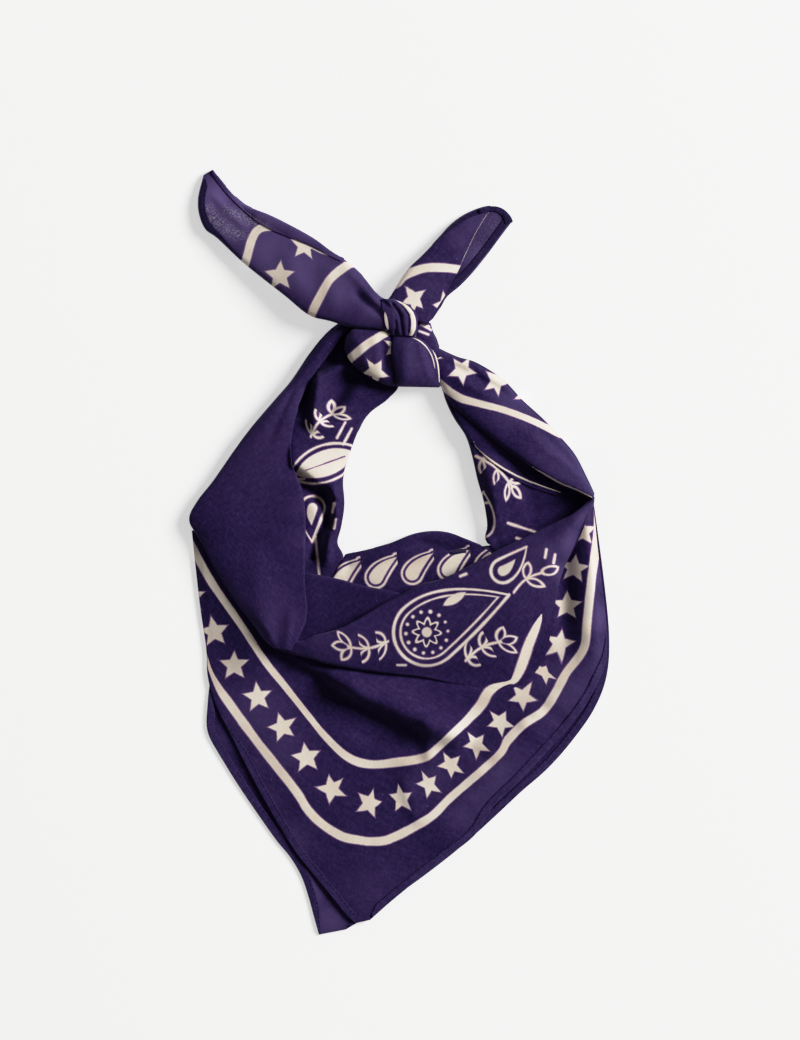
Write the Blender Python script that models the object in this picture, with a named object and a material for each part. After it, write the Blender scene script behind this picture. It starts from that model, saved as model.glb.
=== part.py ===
"""A dog bandana: one hemmed cotton square, folded corner to corner, tied into a loop and laid flat.

Sizes are in millimetres and become metres when a mesh is made. The object lies on z = 0, its
knot towards +Y and its points towards -Y. Each stretch of the cloth that shows is a strip: its
table has a row for each cross-section, which runs from edge a to edge b. The strips are laid in
order, from the lowest to the knot's band, and each one rests on the cloth already below it.
"""
import math

import bpy
import numpy as np
from mathutils import Vector
from mathutils.bvhtree import BVHTree

MM = 0.001
GAP = 0.35            # air between a stretch and the one below it
WALL = 1.2            # cloth of the under point, and the least thickness of any strip
HEM_WIDTH = 5.0       # turned hem
HEM_WALL = 1.0        # its extra layers
HEM_INSET = 0.2       # keeps the hem's edge just inside the panel's edge
FLOOR = 0.0
SEARCH = 7            # samples in each grid step when a strip looks for cloth below it
ABOVE_ALL = 200.0     # height from which it looks down
FOLD_SOFTNESS = 1.5   # how fast a fold dies away past its half width
FOLD_HOLD = 1.6       # how long a fold keeps its full height between its faded ends
EDGE_ROLL = 6         # how close to a strip's edge its underside rolls up
SHARP_ANGLE = math.radians(50)

NAVY = (0.030, 0.018, 0.085)
NAVY_DEEP = (0.014, 0.008, 0.045)
NAVY_LIT = (0.050, 0.033, 0.130)
HEM_NAVY = (0.018, 0.010, 0.055)

# Every table's columns: a_x, a_y, a_z, b_x, b_y, b_z, crown, sag, lift.
# a and b are the section's ends with their top heights, crown is how far its middle rises
# above them, sag is how far its middle is pulled towards -Y in plan, and lift is how far its
# underside stays above the floor.

# Under layer's corner, from the throat to its tip.
BACK_POINT = [
    (-114, -12, 1.2, 122, 31, 1.2, 0, 26, 0),
    (-117, -45, 1.2, 128, -14, 1.2, 0, 16, 0),
    (-119, -75, 1.2, 131.6, -52, 1.2, 0, 8, 0),
    (-121, -95, 1.2, 130, -78, 1.2, 0, 4, 0),
    (-121, -113, 1.2, 122, -99, 1.2, 0, 0, 0),
    (-112, -130, 1.2, 108, -119, 1.2, 0, 0, 0),
    (-101.5, -147, 1.2, 93, -136, 1.2, 0, 0, 0),
    (-90, -164, 1.2, 76, -151, 1.2, 0, 0, 0),
    (-78, -181, 1.2, 60, -166, 1.2, 0, 0, 0),
    (-69, -192, 1.2, 40, -184, 1.2, 0, 0, 0),
    (-62, -204, 1.2, 20, -200, 1.2, 0, 0, 0),
    (-57.5, -217, 1.2, -2, -216, 1.2, 0, 0, 0),
    (-54, -230, 1.2, -22, -230, 1.2, 0, 0, 0),
    (-51, -240.7, 1.2, -34, -237.5, 1.2, 0, 0, 0),
]

# Upper layer's corner, from under the cowl to its tip.
FRONT_POINT = [
    (-131, 14, 4.5, 120.5, 30, 4.5, 2, 30, 0),
    (-128.5, -10, 4.2, 124, -4, 4.4, 2.5, 14, 0),
    (-125.5, -36, 4.0, 128, -28, 4.2, 3, 8, 0),
    (-122, -60, 3.8, 130, -52, 4.0, 3, 4, 0),
    (-121, -78, 3.6, 129, -70, 3.8, 3, 0, 0),
    (-116, -96, 3.4, 121, -89, 3.6, 2.5, 0, 0),
    (-107, -114, 3.2, 108, -108, 3.4, 2.5, 0, 0),
    (-98, -132, 3.2, 92, -126, 3.4, 2, 0, 0),
    (-87, -153, 3.2, 76, -143, 3.4, 2, 0, 0),
    (-76, -172, 3.2, 58, -161, 3.4, 1.5, 0, 0),
    (-65.5, -189, 3.2, 47, -178, 3.2, 1.5, 0, 0),
    (-53, -204.5, 3.2, 28, -193, 3.2, 1, 0, 0),
    (-42, -218, 3.2, 10, -207, 3.2, 1, 0, 0),
    (-33.5, -228.5, 3.2, -6, -220, 3.2, 0.5, 0, 0),
    (-28, -233.5, 3.2, -19, -231.5, 3.2, 0, 0, 0),
]

# Far wall of the loop, left side: from under the knot to the throat. Edge b is the hole's.
INNER_LEFT = [
    (-40, 133, 7, -20, 124, 6, 3, 0, 0),
    (-48, 120, 8, -10, 108, 6, 3, 0, 0),
    (-58, 106, 8, -11, 95, 5, 4, 0, 0),
    (-67, 90, 8, -21, 88, 5, 5, 0, 0),
    (-72, 70, 8, -28, 75, 5, 6, 0, 0),
    (-72, 54, 8, -33, 60, 5, 7, 0, 0),
    (-69, 38, 7, -38, 46, 5, 7, 0, 0),
    (-66, 22, 7, -37.5, 31, 5, 7, 0, 0),
    (-65, 8, 7, -38.5, 17, 5, 7, 0, 0),
    (-64, -5, 7, -40.5, 6, 5, 6, 0, 0),
    (-62, -16, 6, -37, -1.5, 4, 4, 0, 0),
]

# Far wall of the loop at the throat, from left to right. Edge a is the hole's.
INNER_THROAT = [
    (-35, -2.2, 4, -46, -22, 9, 4, 0, 0),
    (-21, 0.6, 5, -24, -29, 10, 5, 0, 0),
    (-6, 5, 5, -2, -34, 11, 6, 0, 0),
    (8, 11, 5, 18, -29, 11, 6, 0, 0),
    (20, 13, 5, 34, -22, 11, 6, 0, 0),
    (31, 12, 5, 48, -14, 11, 5, 0, 0),
    (42, 8, 5, 58, -9, 11, 4, 0, 0),
    (51, 4.5, 4, 63, -5, 10, 3, 0, 0),
]

# Far wall of the loop, right side: from the knot down into the pocket. Edge a is the hole's.
INNER_RIGHT = [
    (25, 108, 5, 31, 104, 7, 2, 0, 0),
    (30, 94, 5, 40, 93, 8, 3, 0, 0),
    (35, 84, 5, 52, 84, 8, 4, 0, 0),
    (42, 73.5, 5, 65, 74, 8, 5, 0, 0),
    (46, 62, 5, 78, 65, 8, 4, 0, 0),
    (50, 46, 5, 90, 57, 7, 2, 0, 0),
    (54, 32, 5, 100, 50, 6, 1, 0, 0),
    (56, 18, 5, 108, 45, 5, 0, 0, 0),
    (55, 8, 5, 113, 42, 5, 0, 0, 0),
    (66, -2, 7, 116, 39, 5, -1, 0, 0),
    (88, 8, 8, 118.5, 36.5, 5, -1, 0, 0),
    (106, 19, 7, 120, 34.5, 5, 0, 0, 0),
]

# Broad plain stretch, from the knot down to the pinch at the throat. Edge a is the outer one.
NECK_LEFT = [
    (-37, 143, 9, -33, 137, 9, 3, 0, 0),
    (-46, 136, 8, -41, 125, 9, 6, 0, 0),
    (-56, 123, 7, -49, 115, 9, 8, 0, 0),
    (-67, 109, 7, -57, 107, 10, 9, 0, 0),
    (-85, 88, 7, -65, 86, 11, 10, 0, 0),
    (-95, 75, 7, -69, 67, 12, 11, 0, 0),
    (-106, 60, 7, -67, 50, 12, 11, 0, 0),
    (-117, 45, 8, -62.5, 33, 13, 10, 0, 0),
    (-127, 32, 9, -60.5, 14, 14, 9, 0, 0),
    (-131.6, 20, 10, -60, -3, 14, 8, 0, 0),
    (-124.5, 7, 10, -60, -18, 14, 8, 0, 0),
    (-118, -7, 10, -59.5, -30, 14, 8, 0, 0),
    (-111, -23, 10, -59, -41, 14, 7, 0, 0),
    (-101, -38, 10, -61, -50, 13, 6, 0, 0),
    (-89, -51.5, 10, -66, -57, 12, 5, 0, 0),
    (-76, -61.5, 10, -71, -61, 11, 2, 0, 0),
]

# Rolled band with the border print, from the knot to the throat's corner. Edge a is the outer.
NECK_RIGHT = [
    (22, 129, 8, 20, 112, 9, 4, 0, 0),
    (30, 124.9, 7, 25.5, 105, 9, 7, 0, 0),
    (37, 121.9, 6, 30, 97, 10, 9, 0, 0),
    (48, 118.3, 6, 37, 89, 11, 10, 0, 0),
    (64.8, 108.4, 6, 49, 79.5, 12, 12, 0, 0),
    (78, 96, 6, 62, 69, 13, 13, 0, 0),
    (90, 84.5, 6, 75, 59.5, 14, 13, 0, 0),
    (101, 73, 6, 88, 50.5, 15, 12, 0, 0),
    (111, 61.5, 6, 100, 43.5, 16, 11, 0, 0),
    (118, 48, 7, 111, 39, 16, 8, 0, 0),
    (121.7, 36.5, 9, 119.5, 34.5, 14, 2, 0, 0),
]

# Plain tuck between the broad stretch and the cowl. Edge a is the upper one.
COWL_TUCK = [
    (0, -26.5, 16, 1.5, -30, 15, 0, 0, 0),
    (-13, -24, 16, -15, -41, 14, 1, 0, 0),
    (-27, -21, 16, -33, -51, 13, 2, 0, 0),
    (-43, -16.5, 16, -50, -59, 13, 2, 0, 0),
    (-58, -13.5, 15, -64, -64, 12, 2, 0, 0),
]

# Draped fold at the throat, from the pinch to the right corner. Edge a is its upper fold.
COWL_FOLD = [
    (-71, -61.5, 13, -70, -63.5, 12, 0, 0, 0),
    (-53, -54.5, 16, -56, -66.5, 11, 3, 0, 0),
    (-37, -48, 18, -42, -70, 10, 5, 0, 0),
    (-19, -38, 19, -25, -73, 10, 7, 0, 0),
    (-1, -28.5, 19, -6, -75, 10, 8, 0, 0),
    (13, -21, 19, 14, -76.5, 10, 8, 0, 0),
    (27, -17, 19, 33, -81.5, 10, 8, 0, 0),
    (46, -7.5, 19, 54, -83.5, 10, 8, 0, 0),
    (63, 1, 20, 72, -80.5, 10, 8, 0, 0),
    (82, 10, 20, 82, -57, 11, 8, 0, 0),
    (96, 17, 20, 91, -38, 12, 7, 0, 0),
    (107, 23, 20, 99, -20, 13, 5, 0, 0),
    (115, 29, 20, 109, -2, 14, 3, 0, 0),
    (120.5, 33.5, 18, 118.5, 22, 14, 1, 0, 0),
]

# Short stretch behind the knot's band, down to the neck. Edge b is the outer one.
KNOT_BACK = [
    (5, 149, 14, 18.5, 144.5, 12, 3, 0, 4),
    (6, 142, 15, 19.6, 139.7, 12, 4, 0, 2),
    (8, 135, 15, 22.2, 134.6, 12, 4, 0, 0),
    (13, 127, 14, 24.3, 128.5, 11, 3, 0, 0),
    (17, 119, 13, 26.5, 123.5, 11, 2, 0, 0),
]

# Right free end, under layer, from the knot to its tip. Edge b is the outer, hemmed one.
TAIL_RIGHT_UNDER = [
    (0, 152, 18, 17, 143, 17, 1, 0, 9),
    (5, 161, 15, 23.5, 154, 14, 1, 0, 8),
    (11, 173, 12.5, 28, 161.5, 11.5, 1, 0, 7),
    (19, 183, 10.5, 37, 167.8, 9.5, 1, 0, 5.5),
    (25, 192, 8.5, 48.8, 178, 7.5, 1, 0, 4),
    (31.5, 200, 6.5, 57, 189.5, 5.5, 1, 0, 2.5),
    (41, 209, 5, 65, 201.5, 4, 1, 0, 1),
    (52, 214, 4, 69.5, 207, 3, 0.5, 0, 0),
    (60, 215.5, 4, 70.5, 209, 3, 0, 0, 0),
]

# Right free end, upper layer with the border print. Edge b is its pressed fold.
TAIL_RIGHT_OVER = [
    (-9, 155, 20, 17, 142.8, 19, 2, 0, 10),
    (-2, 166, 18, 23.5, 153.5, 17, 3, 0, 9),
    (5.7, 177, 15.5, 28.8, 161.8, 14.5, 3, 0, 8),
    (14, 185.3, 13, 33.5, 170.1, 12, 3, 0, 6.5),
    (21, 193, 10.5, 38.6, 180.2, 10.5, 3, 0, 5),
    (26.5, 199, 8.5, 43, 189, 8.5, 2, 0, 3.5),
    (31, 204.6, 7, 47, 198, 7, 2, 0, 2.5),
    (40.3, 211.8, 5.5, 52, 207, 5.5, 1, 0, 1.5),
    (50, 215.7, 5, 56.3, 211.7, 5, 1, 0, 1),
    (57, 217.2, 5, 59, 214.2, 5, 0, 0, 1),
]

# Lower left loop of the knot, from its left end to the right loop. Edge a is the upper one.
KNOT_LOOP_LEFT = [
    (-34, 134.4, 13, -35, 129.8, 12, 1, 0, 6),
    (-29.5, 139.4, 17, -31.5, 122, 13, 5, 0, 5),
    (-21, 140.1, 19, -24.7, 115.2, 14, 7, 0, 4),
    (-12.9, 140.1, 20, -16.3, 110.1, 14, 8, 0, 4),
    (-7, 138, 20, -7.8, 106.3, 14, 7, 0, 4),
    (-1, 134, 19, 1, 105.5, 14, 4, 0, 4),
]

# Lower right loop of the knot, plain, from the band down. Edge a is the left one.
KNOT_LOOP_RIGHT = [
    (-4.4, 135.3, 24, 7.5, 135.8, 22, 3, 0, 6),
    (-5.2, 132, 25, 14.5, 133, 20, 4, 0, 5),
    (-5.6, 126, 25, 20.5, 127, 17, 5, 0, 4),
    (-4.2, 120, 24, 23.5, 121, 15, 5, 0, 3),
    (-2.6, 113, 22, 24.9, 113, 14, 5, 0, 3),
    (-1.9, 107, 19, 25.1, 107, 13, 4, 0, 3),
    (-1.8, 104.3, 16, 24.4, 103.8, 12, 2, 0, 3),
]

# Left free end, under layer, from the knot to its tip. Edge a is the upper one.
TAIL_LEFT_UNDER = [
    (-4, 157, 26, -4, 139.5, 24, 3, 0, 14),
    (-13, 160.5, 25, -15, 140.5, 22, 4, 0, 14),
    (-24, 173.5, 22, -30, 142, 18, 5, 0, 13),
    (-35, 183, 19, -44, 146.3, 16, 5, 0, 11.5),
    (-47, 189.5, 17, -57, 150.3, 14, 5, 0, 10),
    (-58, 196.5, 14.5, -72, 162.5, 12, 5, 0, 8),
    (-70, 204, 12, -86.6, 174, 10, 4, 0, 6),
    (-83, 210.5, 10, -99, 184.2, 8, 4, 0, 4),
    (-95.5, 216, 8, -113.7, 198.2, 6, 3, 0, 2),
    (-104, 223, 6, -121.7, 204.4, 5, 2, 0, 0.8),
    (-110, 229.5, 5, -125.7, 214, 4.5, 1, 0, 0),
    (-114, 234.5, 5, -126.2, 224, 4.5, 0.5, 0, 0),
    (-118.5, 240.7, 4.5, -123, 238, 4.5, 0, 0, 0),
]

# Left free end, its turned-over edge, from the tip to the knot. Edge a is the upper one.
TAIL_LEFT_OVER = [
    (-117.6, 239.4, 6, -119, 236.6, 6, 0, 0, 0),
    (-112, 232.3, 6.5, -114.6, 229.3, 6.5, 0.5, 0, 0),
    (-106.3, 225.8, 7.5, -109.3, 222, 7.5, 0.5, 0, 0),
    (-99, 219.2, 9, -101.6, 213.8, 9, 1, 0, 2),
    (-91, 215.2, 11, -91.5, 206.4, 11, 2, 0, 3),
    (-81, 211.3, 13, -79.6, 202.4, 13, 2, 0, 4),
    (-68.2, 205, 15.5, -68, 198, 15.5, 2, 0, 6),
    (-54.5, 197.2, 18.5, -57, 193.4, 18.5, 1, 0, 8),
    (-43.5, 189.2, 21, -46, 188, 21, 0, 0, 10),
]

# Band round the knot, from its upper end down. Edge a is the left one.
KNOT_WRAP = [
    (-11.6, 159, 29, -5, 159, 29, 2, 0, 14),
    (-11.3, 155.5, 30, 3, 156, 28, 4, 0, 14),
    (-10.6, 150.5, 31, 8.3, 151.5, 26, 5, 0, 14),
    (-9.6, 145, 31, 10.2, 146, 26, 5, 0, 14),
    (-8.6, 140, 30, 10.2, 140, 27, 4, 0, 14),
    (-5, 136.2, 29, 9.2, 135.9, 27, 2, 0, 14),
]

# Folds pressed into a strip. Columns: from_x, from_y, to_x, to_y, half_width, rise.
FRONT_FOLDS = [
    (-60, -71, 19, -127, 11, -1.6),
    (-42, -66, 34, -112, 12, 1.8),
    (-74, -84, 2, -133, 13, 1.6),
    (60, -96, 112, -76, 10, 1.4),
    (-92, -96, -50, -176, 16, 1.0),
    (84, -104, 44, -166, 12, 1.2),
]
BACK_FOLDS = [
    (-118, -104, -66, -190, 9, 2.2),
    (128, -86, 74, -150, 6, 1.6),
]
NECK_LEFT_FOLDS = [
    (-52, 122, -76, 84, 5, -2.4),
    (-60, 118, -92, 66, 6, 1.8),
    (-78, -54, -70, -20, 9, 2.2),
]
NECK_RIGHT_FOLDS = [
    (26, 119, 70, 94, 4, -2.2),
    (30, 104, 92, 62, 5, 1.8),
    (98, 66, 119, 42, 5, -2.0),
]
INNER_LEFT_FOLDS = [
    (-56, 44, -52, -8, 5, -6.0),
    (-46, 46, -46, 2, 5, 4.0),
    (-50, 104, -48, 70, 5, -4.0),
    (-36, 100, -38, 70, 5, 3.0),
]
INNER_THROAT_FOLDS = [
    (-30, -8, 6, 2, 5, 2.5),
    (20, 2, 50, -6, 6, -3.0),
]
INNER_RIGHT_FOLDS = [
    (42, 72, 66, 50, 4, 3.5),
    (60, 52, 100, 34, 7, -3.0),
]
COWL_FOLDS = [
    (-46, -57, 60, -40, 11, 2.6),
    (-10, -66, 76, -62, 7, -2.0),
    (60, -18, 112, 22, 8, 2.2),
]
KNOT_LOOP_FOLDS = [
    (-32, 130, -10, 134, 5, 1.8),
    (-10, 134, -8, 110, 4, -2.0),
    (12, 132, 10, 108, 7, 1.8),
]
TAIL_FOLDS = [
    (-118, 226, -92, 198, 4, 1.4),
    (-30, 164, -14, 150, 5, -2.4),
    (-44, 176, -16, 156, 6, 1.8),
]
WRAP_FOLDS = [
    (-11, 155, -7, 137, 1.6, -2.2),
    (-7.5, 158, -3, 136, 1.6, -2.4),
    (-2.5, 158, 1.5, 136, 1.8, -2.0),
    (2, 156, 6, 136, 1.6, -1.6),
]


def through(rows, steps):
    """Rows read from a smooth curve through the table's rows, steps to each interval."""
    table = np.array(rows, dtype=float)
    padded = np.vstack([2 * table[0] - table[1], table, 2 * table[-1] - table[-2]])
    fine = []
    for i in range(len(table) - 1):
        p0, p1, p2, p3 = padded[i:i + 4]
        for k in range(steps):
            t = k / steps
            fine.append(0.5 * (2 * p1 + (p2 - p0) * t + (2 * p0 - 5 * p1 + 4 * p2 - p3) * t ** 2
                               + (3 * p1 - p0 - 3 * p2 + p3) * t ** 3))
    fine.append(table[-1])
    return np.array(fine)


def fold_rise(x, y, folds):
    """Sum of the soft ridges and troughs at plan points; each fades out towards its ends."""
    rise = np.zeros_like(x)
    for from_x, from_y, to_x, to_y, half_width, height in folds:
        run_x, run_y = to_x - from_x, to_y - from_y
        length = math.hypot(run_x, run_y)
        along = ((x - from_x) * run_x + (y - from_y) * run_y) / length ** 2
        off = ((x - from_x) * run_y - (y - from_y) * run_x) / length
        fade = np.clip(FOLD_HOLD * np.sin(np.pi * np.clip(along, 0, 1)), 0, 1)
        rise += height * fade * np.exp(-FOLD_SOFTNESS * (off / half_width) ** 2)
    return rise


def strip_grid(rows, steps, across, roundness, crest_at, roll, folds):
    """Plan points, top heights and lowest undersides of a strip, as grids of sections."""
    table = through(rows, steps)
    a_x, a_y, a_z, b_x, b_y, b_z, crown, sag, lift = (column[:, None] for column in table.T)
    v = 0.5 - 0.5 * np.cos(np.pi * np.arange(across + 1) / across)[None, :]
    x = a_x + (b_x - a_x) * v
    y = a_y + (b_y - a_y) * v - sag * 4 * v * (1 - v)
    leant = v ** (math.log(0.5) / math.log(crest_at))
    bulge = (1 - np.abs(2 * leant - 1) ** roundness) ** (1 / roundness)
    edge_fade = np.minimum(1, 8 * v * (1 - v))
    top = a_z + (b_z - a_z) * v + crown * bulge + fold_rise(x, y, folds) * edge_fade
    underside = lift + roll * np.abs(2 * v - 1) ** EDGE_ROLL
    return x, y, top, underside


def refined(grid, steps):
    """The grid with steps samples along each of its intervals, both ways."""
    for axis in (0, 1):
        count = grid.shape[axis]
        at = np.linspace(0, count - 1, (count - 1) * steps + 1)
        low = np.minimum(at.astype(int), count - 2)
        share = at - low
        share = share[:, None] if axis == 0 else share[None, :]
        grid = np.take(grid, low, axis) * (1 - share) + np.take(grid, low + 1, axis) * share
    return grid


def cloth_below(x, y, laid):
    """Highest cloth already laid within one grid step of each grid point, or the floor."""
    fine_x, fine_y = refined(x, SEARCH), refined(y, SEARCH)
    height = np.full(fine_x.shape, FLOOR)
    down = Vector((0, 0, -1))
    for tree in laid:
        for index in np.ndindex(fine_x.shape):
            hit = tree.ray_cast(Vector((fine_x[index], fine_y[index], ABOVE_ALL)), down)[0]
            if hit is not None:
                height[index] = max(height[index], hit.z)
    below = np.empty(x.shape)
    for i, j in np.ndindex(x.shape):
        rows = slice(max(0, (i - 1) * SEARCH), (i + 1) * SEARCH + 1)
        columns = slice(max(0, (j - 1) * SEARCH), (j + 1) * SEARCH + 1)
        below[i, j] = height[rows, columns].max()
    return below


def closed_strip(x, y, top, bottom):
    """Points and faces of the closed solid between the strip's top and bottom grids."""
    rows, columns = x.shape
    points = [(x[i], y[i], top[i]) for i in np.ndindex(x.shape)]
    points += [(x[i], y[i], bottom[i]) for i in np.ndindex(x.shape)]
    under = rows * columns
    faces = []
    for i in range(rows - 1):
        for j in range(columns - 1):
            here = i * columns + j
            quad = (here, here + columns, here + columns + 1, here + 1)
            faces.append(quad)
            faces.append(tuple(under + k for k in reversed(quad)))
    rim = list(range(columns))
    rim += [i * columns + columns - 1 for i in range(1, rows)]
    rim += [(rows - 1) * columns + j for j in range(columns - 2, -1, -1)]
    rim += [i * columns for i in range(rows - 2, 0, -1)]
    for here, following in zip(rim, rim[1:] + rim[:1]):
        faces.append((here, following, under + following, under + here))
    along = (x[-1, 0] - x[0, 0], y[-1, 0] - y[0, 0])
    across = (x[rows // 2, -1] - x[rows // 2, 0], y[rows // 2, -1] - y[rows // 2, 0])
    if along[0] * across[1] < along[1] * across[0]:
        faces = [tuple(reversed(face)) for face in faces]
    return points, faces


def cotton(name, colour):
    """Principled material of matt woven cotton."""
    material = bpy.data.materials.new(name)
    material.use_nodes = True
    shader = material.node_tree.nodes["Principled BSDF"]
    shader.inputs["Base Color"].default_value = (*colour, 1)
    shader.inputs["Roughness"].default_value = 0.85
    shader.inputs["Metallic"].default_value = 0.0
    return material


def lay(name, rows, laid, colour=NAVY, steps=2, across=8, wall=None, roundness=2.0, crest_at=0.5,
        roll=0.0, folds=()):
    """Lay one strip on the cloth below it, and add it to the object and to the laid cloth.

    With a wall the strip is a sheet of that thickness. Without one it is the rounded solid that
    its hidden layers share, filled down to what it rests on, and its edges roll up from there.
    """
    x, y, top, underside = strip_grid(rows, steps, across, roundness, crest_at, roll, folds)
    below = cloth_below(x, y, laid)
    seat = np.where(below > FLOOR, below + GAP, FLOOR)
    bottom = np.maximum(seat, underside if wall is None else top - wall)
    top = np.maximum(top, bottom + (wall or WALL))
    points, faces = closed_strip(x, y, top, bottom)
    mesh = bpy.data.meshes.new(name)
    mesh.from_pydata([Vector(point) * MM for point in points], [], faces)
    mesh.validate()
    mesh.update()
    mesh.shade_smooth()
    mesh.set_sharp_from_angle(angle=SHARP_ANGLE)
    mesh.materials.append(cotton(name + "_cotton", colour))
    bpy.context.scene.collection.objects.link(bpy.data.objects.new(name, mesh))
    laid.append(BVHTree.FromPolygons(points, faces))


def hem_rows(rows, first, last, side):
    """Rows of a turned hem along edge a or b of a strip, from one of its sections to another."""
    hem = []
    for a_x, a_y, _, b_x, b_y, *_ in rows[first:last + 1]:
        across = Vector((b_x - a_x, b_y - a_y))
        start = Vector((a_x, a_y)) if side == "a" else Vector((b_x, b_y))
        inward = across.normalized() if side == "a" else -across.normalized()
        reach = min(HEM_WIDTH, 0.45 * across.length)
        outer = start + inward * HEM_INSET
        inner = start + inward * reach
        hem.append((outer.x, outer.y, 0, inner.x, inner.y, 0, 0, 0, 0))
    return hem


def lay_hem(name, rows, first, last, side, laid, steps=2):
    """Lay a turned hem on the edge of a strip that is already laid."""
    lay(name, hem_rows(rows, first, last, side), laid, HEM_NAVY, steps, across=2, wall=HEM_WALL)


def build():
    for old in list(bpy.data.objects):
        bpy.data.objects.remove(old, do_unlink=True)
    laid = []
    lay("back_point", BACK_POINT, laid, NAVY_DEEP, across=6, wall=WALL)
    lay_hem("back_hem_left", BACK_POINT, 3, 13, "a", laid)
    lay_hem("back_hem_right", BACK_POINT, 0, 13, "b", laid)
    lay("front_point", FRONT_POINT, laid, across=12, folds=FRONT_FOLDS)
    lay_hem("front_hem_left", FRONT_POINT, 5, 14, "a", laid)
    lay_hem("front_hem_right", FRONT_POINT, 1, 14, "b", laid)
    lay("inner_left", INNER_LEFT, laid, NAVY_DEEP, across=6, folds=INNER_LEFT_FOLDS)
    lay("inner_throat", INNER_THROAT, laid, NAVY_DEEP, across=6, folds=INNER_THROAT_FOLDS)
    lay("inner_right", INNER_RIGHT, laid, NAVY_DEEP, across=6, folds=INNER_RIGHT_FOLDS)
    lay("neck_left", NECK_LEFT, laid, steps=1, across=10, crest_at=0.62, roll=3,
        folds=NECK_LEFT_FOLDS)
    lay("neck_right", NECK_RIGHT, laid, NAVY_LIT, crest_at=0.6, roll=3, folds=NECK_RIGHT_FOLDS)
    lay("cowl_tuck", COWL_TUCK, laid, NAVY_DEEP, across=6)
    lay("cowl_fold", COWL_FOLD, laid, NAVY_LIT, steps=1, across=10, folds=COWL_FOLDS)
    lay("knot_back", KNOT_BACK, laid, across=6)
    lay("tail_right_under", TAIL_RIGHT_UNDER, laid, NAVY_DEEP, across=6)
    lay_hem("tail_right_hem", TAIL_RIGHT_UNDER, 3, 8, "b", laid)
    lay("tail_right_over", TAIL_RIGHT_OVER, laid, across=6)
    lay("knot_loop_left", KNOT_LOOP_LEFT, laid, roll=2, folds=KNOT_LOOP_FOLDS)
    lay("knot_loop_right", KNOT_LOOP_RIGHT, laid, NAVY_LIT, roll=2, folds=KNOT_LOOP_FOLDS)
    lay("tail_left_under", TAIL_LEFT_UNDER, laid, NAVY_LIT, steps=1, roll=1, folds=TAIL_FOLDS)
    lay_hem("tail_left_hem", TAIL_LEFT_UNDER, 8, 12, "b", laid, steps=1)
    lay("tail_left_over", TAIL_LEFT_OVER, laid, across=4)
    lay("knot_wrap", KNOT_WRAP, laid, across=14, folds=WRAP_FOLDS)


build()
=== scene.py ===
# %% [markdown]
# # A folded and knotted bandana
# The object is one square of thin printed cotton. It is folded corner to corner, its two ends
# are tied into a knot, and it lies flat on a table. This lesson rebuilds its looks around a
# finished frame: every stretch of cloth in the frame is replaced by a finer one here.

# %% Load the frame
import math

import bpy
import numpy as np
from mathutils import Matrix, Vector, noise
from mathutils.bvhtree import BVHTree


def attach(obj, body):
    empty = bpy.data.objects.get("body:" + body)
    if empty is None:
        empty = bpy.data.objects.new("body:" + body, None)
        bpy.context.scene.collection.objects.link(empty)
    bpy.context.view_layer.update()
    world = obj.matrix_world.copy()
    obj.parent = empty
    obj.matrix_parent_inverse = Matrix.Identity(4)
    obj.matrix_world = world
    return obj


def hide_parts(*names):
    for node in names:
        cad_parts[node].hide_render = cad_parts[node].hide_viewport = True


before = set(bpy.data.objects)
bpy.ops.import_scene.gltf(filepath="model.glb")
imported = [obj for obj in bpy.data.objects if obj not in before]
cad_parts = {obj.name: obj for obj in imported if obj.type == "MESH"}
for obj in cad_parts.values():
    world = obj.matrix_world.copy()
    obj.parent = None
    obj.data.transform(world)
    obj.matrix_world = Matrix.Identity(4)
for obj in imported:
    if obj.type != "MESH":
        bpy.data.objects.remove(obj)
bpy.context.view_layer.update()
MM = 0.001
print("nodes in the frame:", len(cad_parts))

# %% [markdown]
# ## The table, the light and the camera
# The cloth lies flat, so it is looked at from straight above through a long lens, which keeps
# raised folds from leaning outwards. One broad lamp low on the right gives the folds their
# bright and dark sides. The table is a light table, as small goods are often shown on: it
# glows a little of its own, so that the shadows on it stay pale while those in folds are deep.

# %% Choose the table, the light and the camera
FLOOR_SIZE = 12.0
LENS, SENSOR = 300.0, 36.0
VIEW_HEIGHT = 0.6552
VIEW_CENTRE = (0.0, 0.0204)
KEY_AZIMUTH, KEY_ELEVATION = math.radians(22), math.radians(34)
KEY_DISTANCE, KEY_SIZE, KEY_POWER = 6.0, 2.6, 515.0
SURROUND = 0.16
TABLE_COLOUR, TABLE_GLOW = 0.73, 0.51

# Columns: light in the scene, light in the picture. Film-like: deep shadows, held-back whites.
BRIGHTEST = 1.6
RESPONSE = [(0.0, 0.0), (0.013, 0.0095), (0.035, 0.035), (0.12, 0.125), (0.45, 0.46), (0.70, 0.70),
            (0.86, 0.79), (1.02, 0.855), (1.26, 0.922), (BRIGHTEST, 0.965)]
print("lamp, m across and away:", KEY_SIZE, KEY_DISTANCE)

# %% Set how light is shown
scene = bpy.context.scene
scene.view_settings.view_transform = "Standard"
scene.view_settings.use_curve_mapping = True
response = scene.view_settings.curve_mapping
response.white_level = (BRIGHTEST,) * 3
curve = response.curves[3]
curve.points[1].location = (1, RESPONSE[-1][1])
for light, shown in RESPONSE[1:-1]:
    curve.points.new(light / BRIGHTEST, shown)
for point in curve.points:
    point.handle_type = "AUTO_CLAMPED"
response.update()
print("points of the response curve:", len(curve.points))


# %% Lay out the table
def plain_material(name, colour, roughness):
    """A material of one colour, for the table."""
    material = bpy.data.materials.new(name)
    material.use_nodes = True
    shader = material.node_tree.nodes["Principled BSDF"]
    shader.inputs["Base Color"].default_value = (*colour, 1)
    shader.inputs["Roughness"].default_value = roughness
    return material


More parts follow.
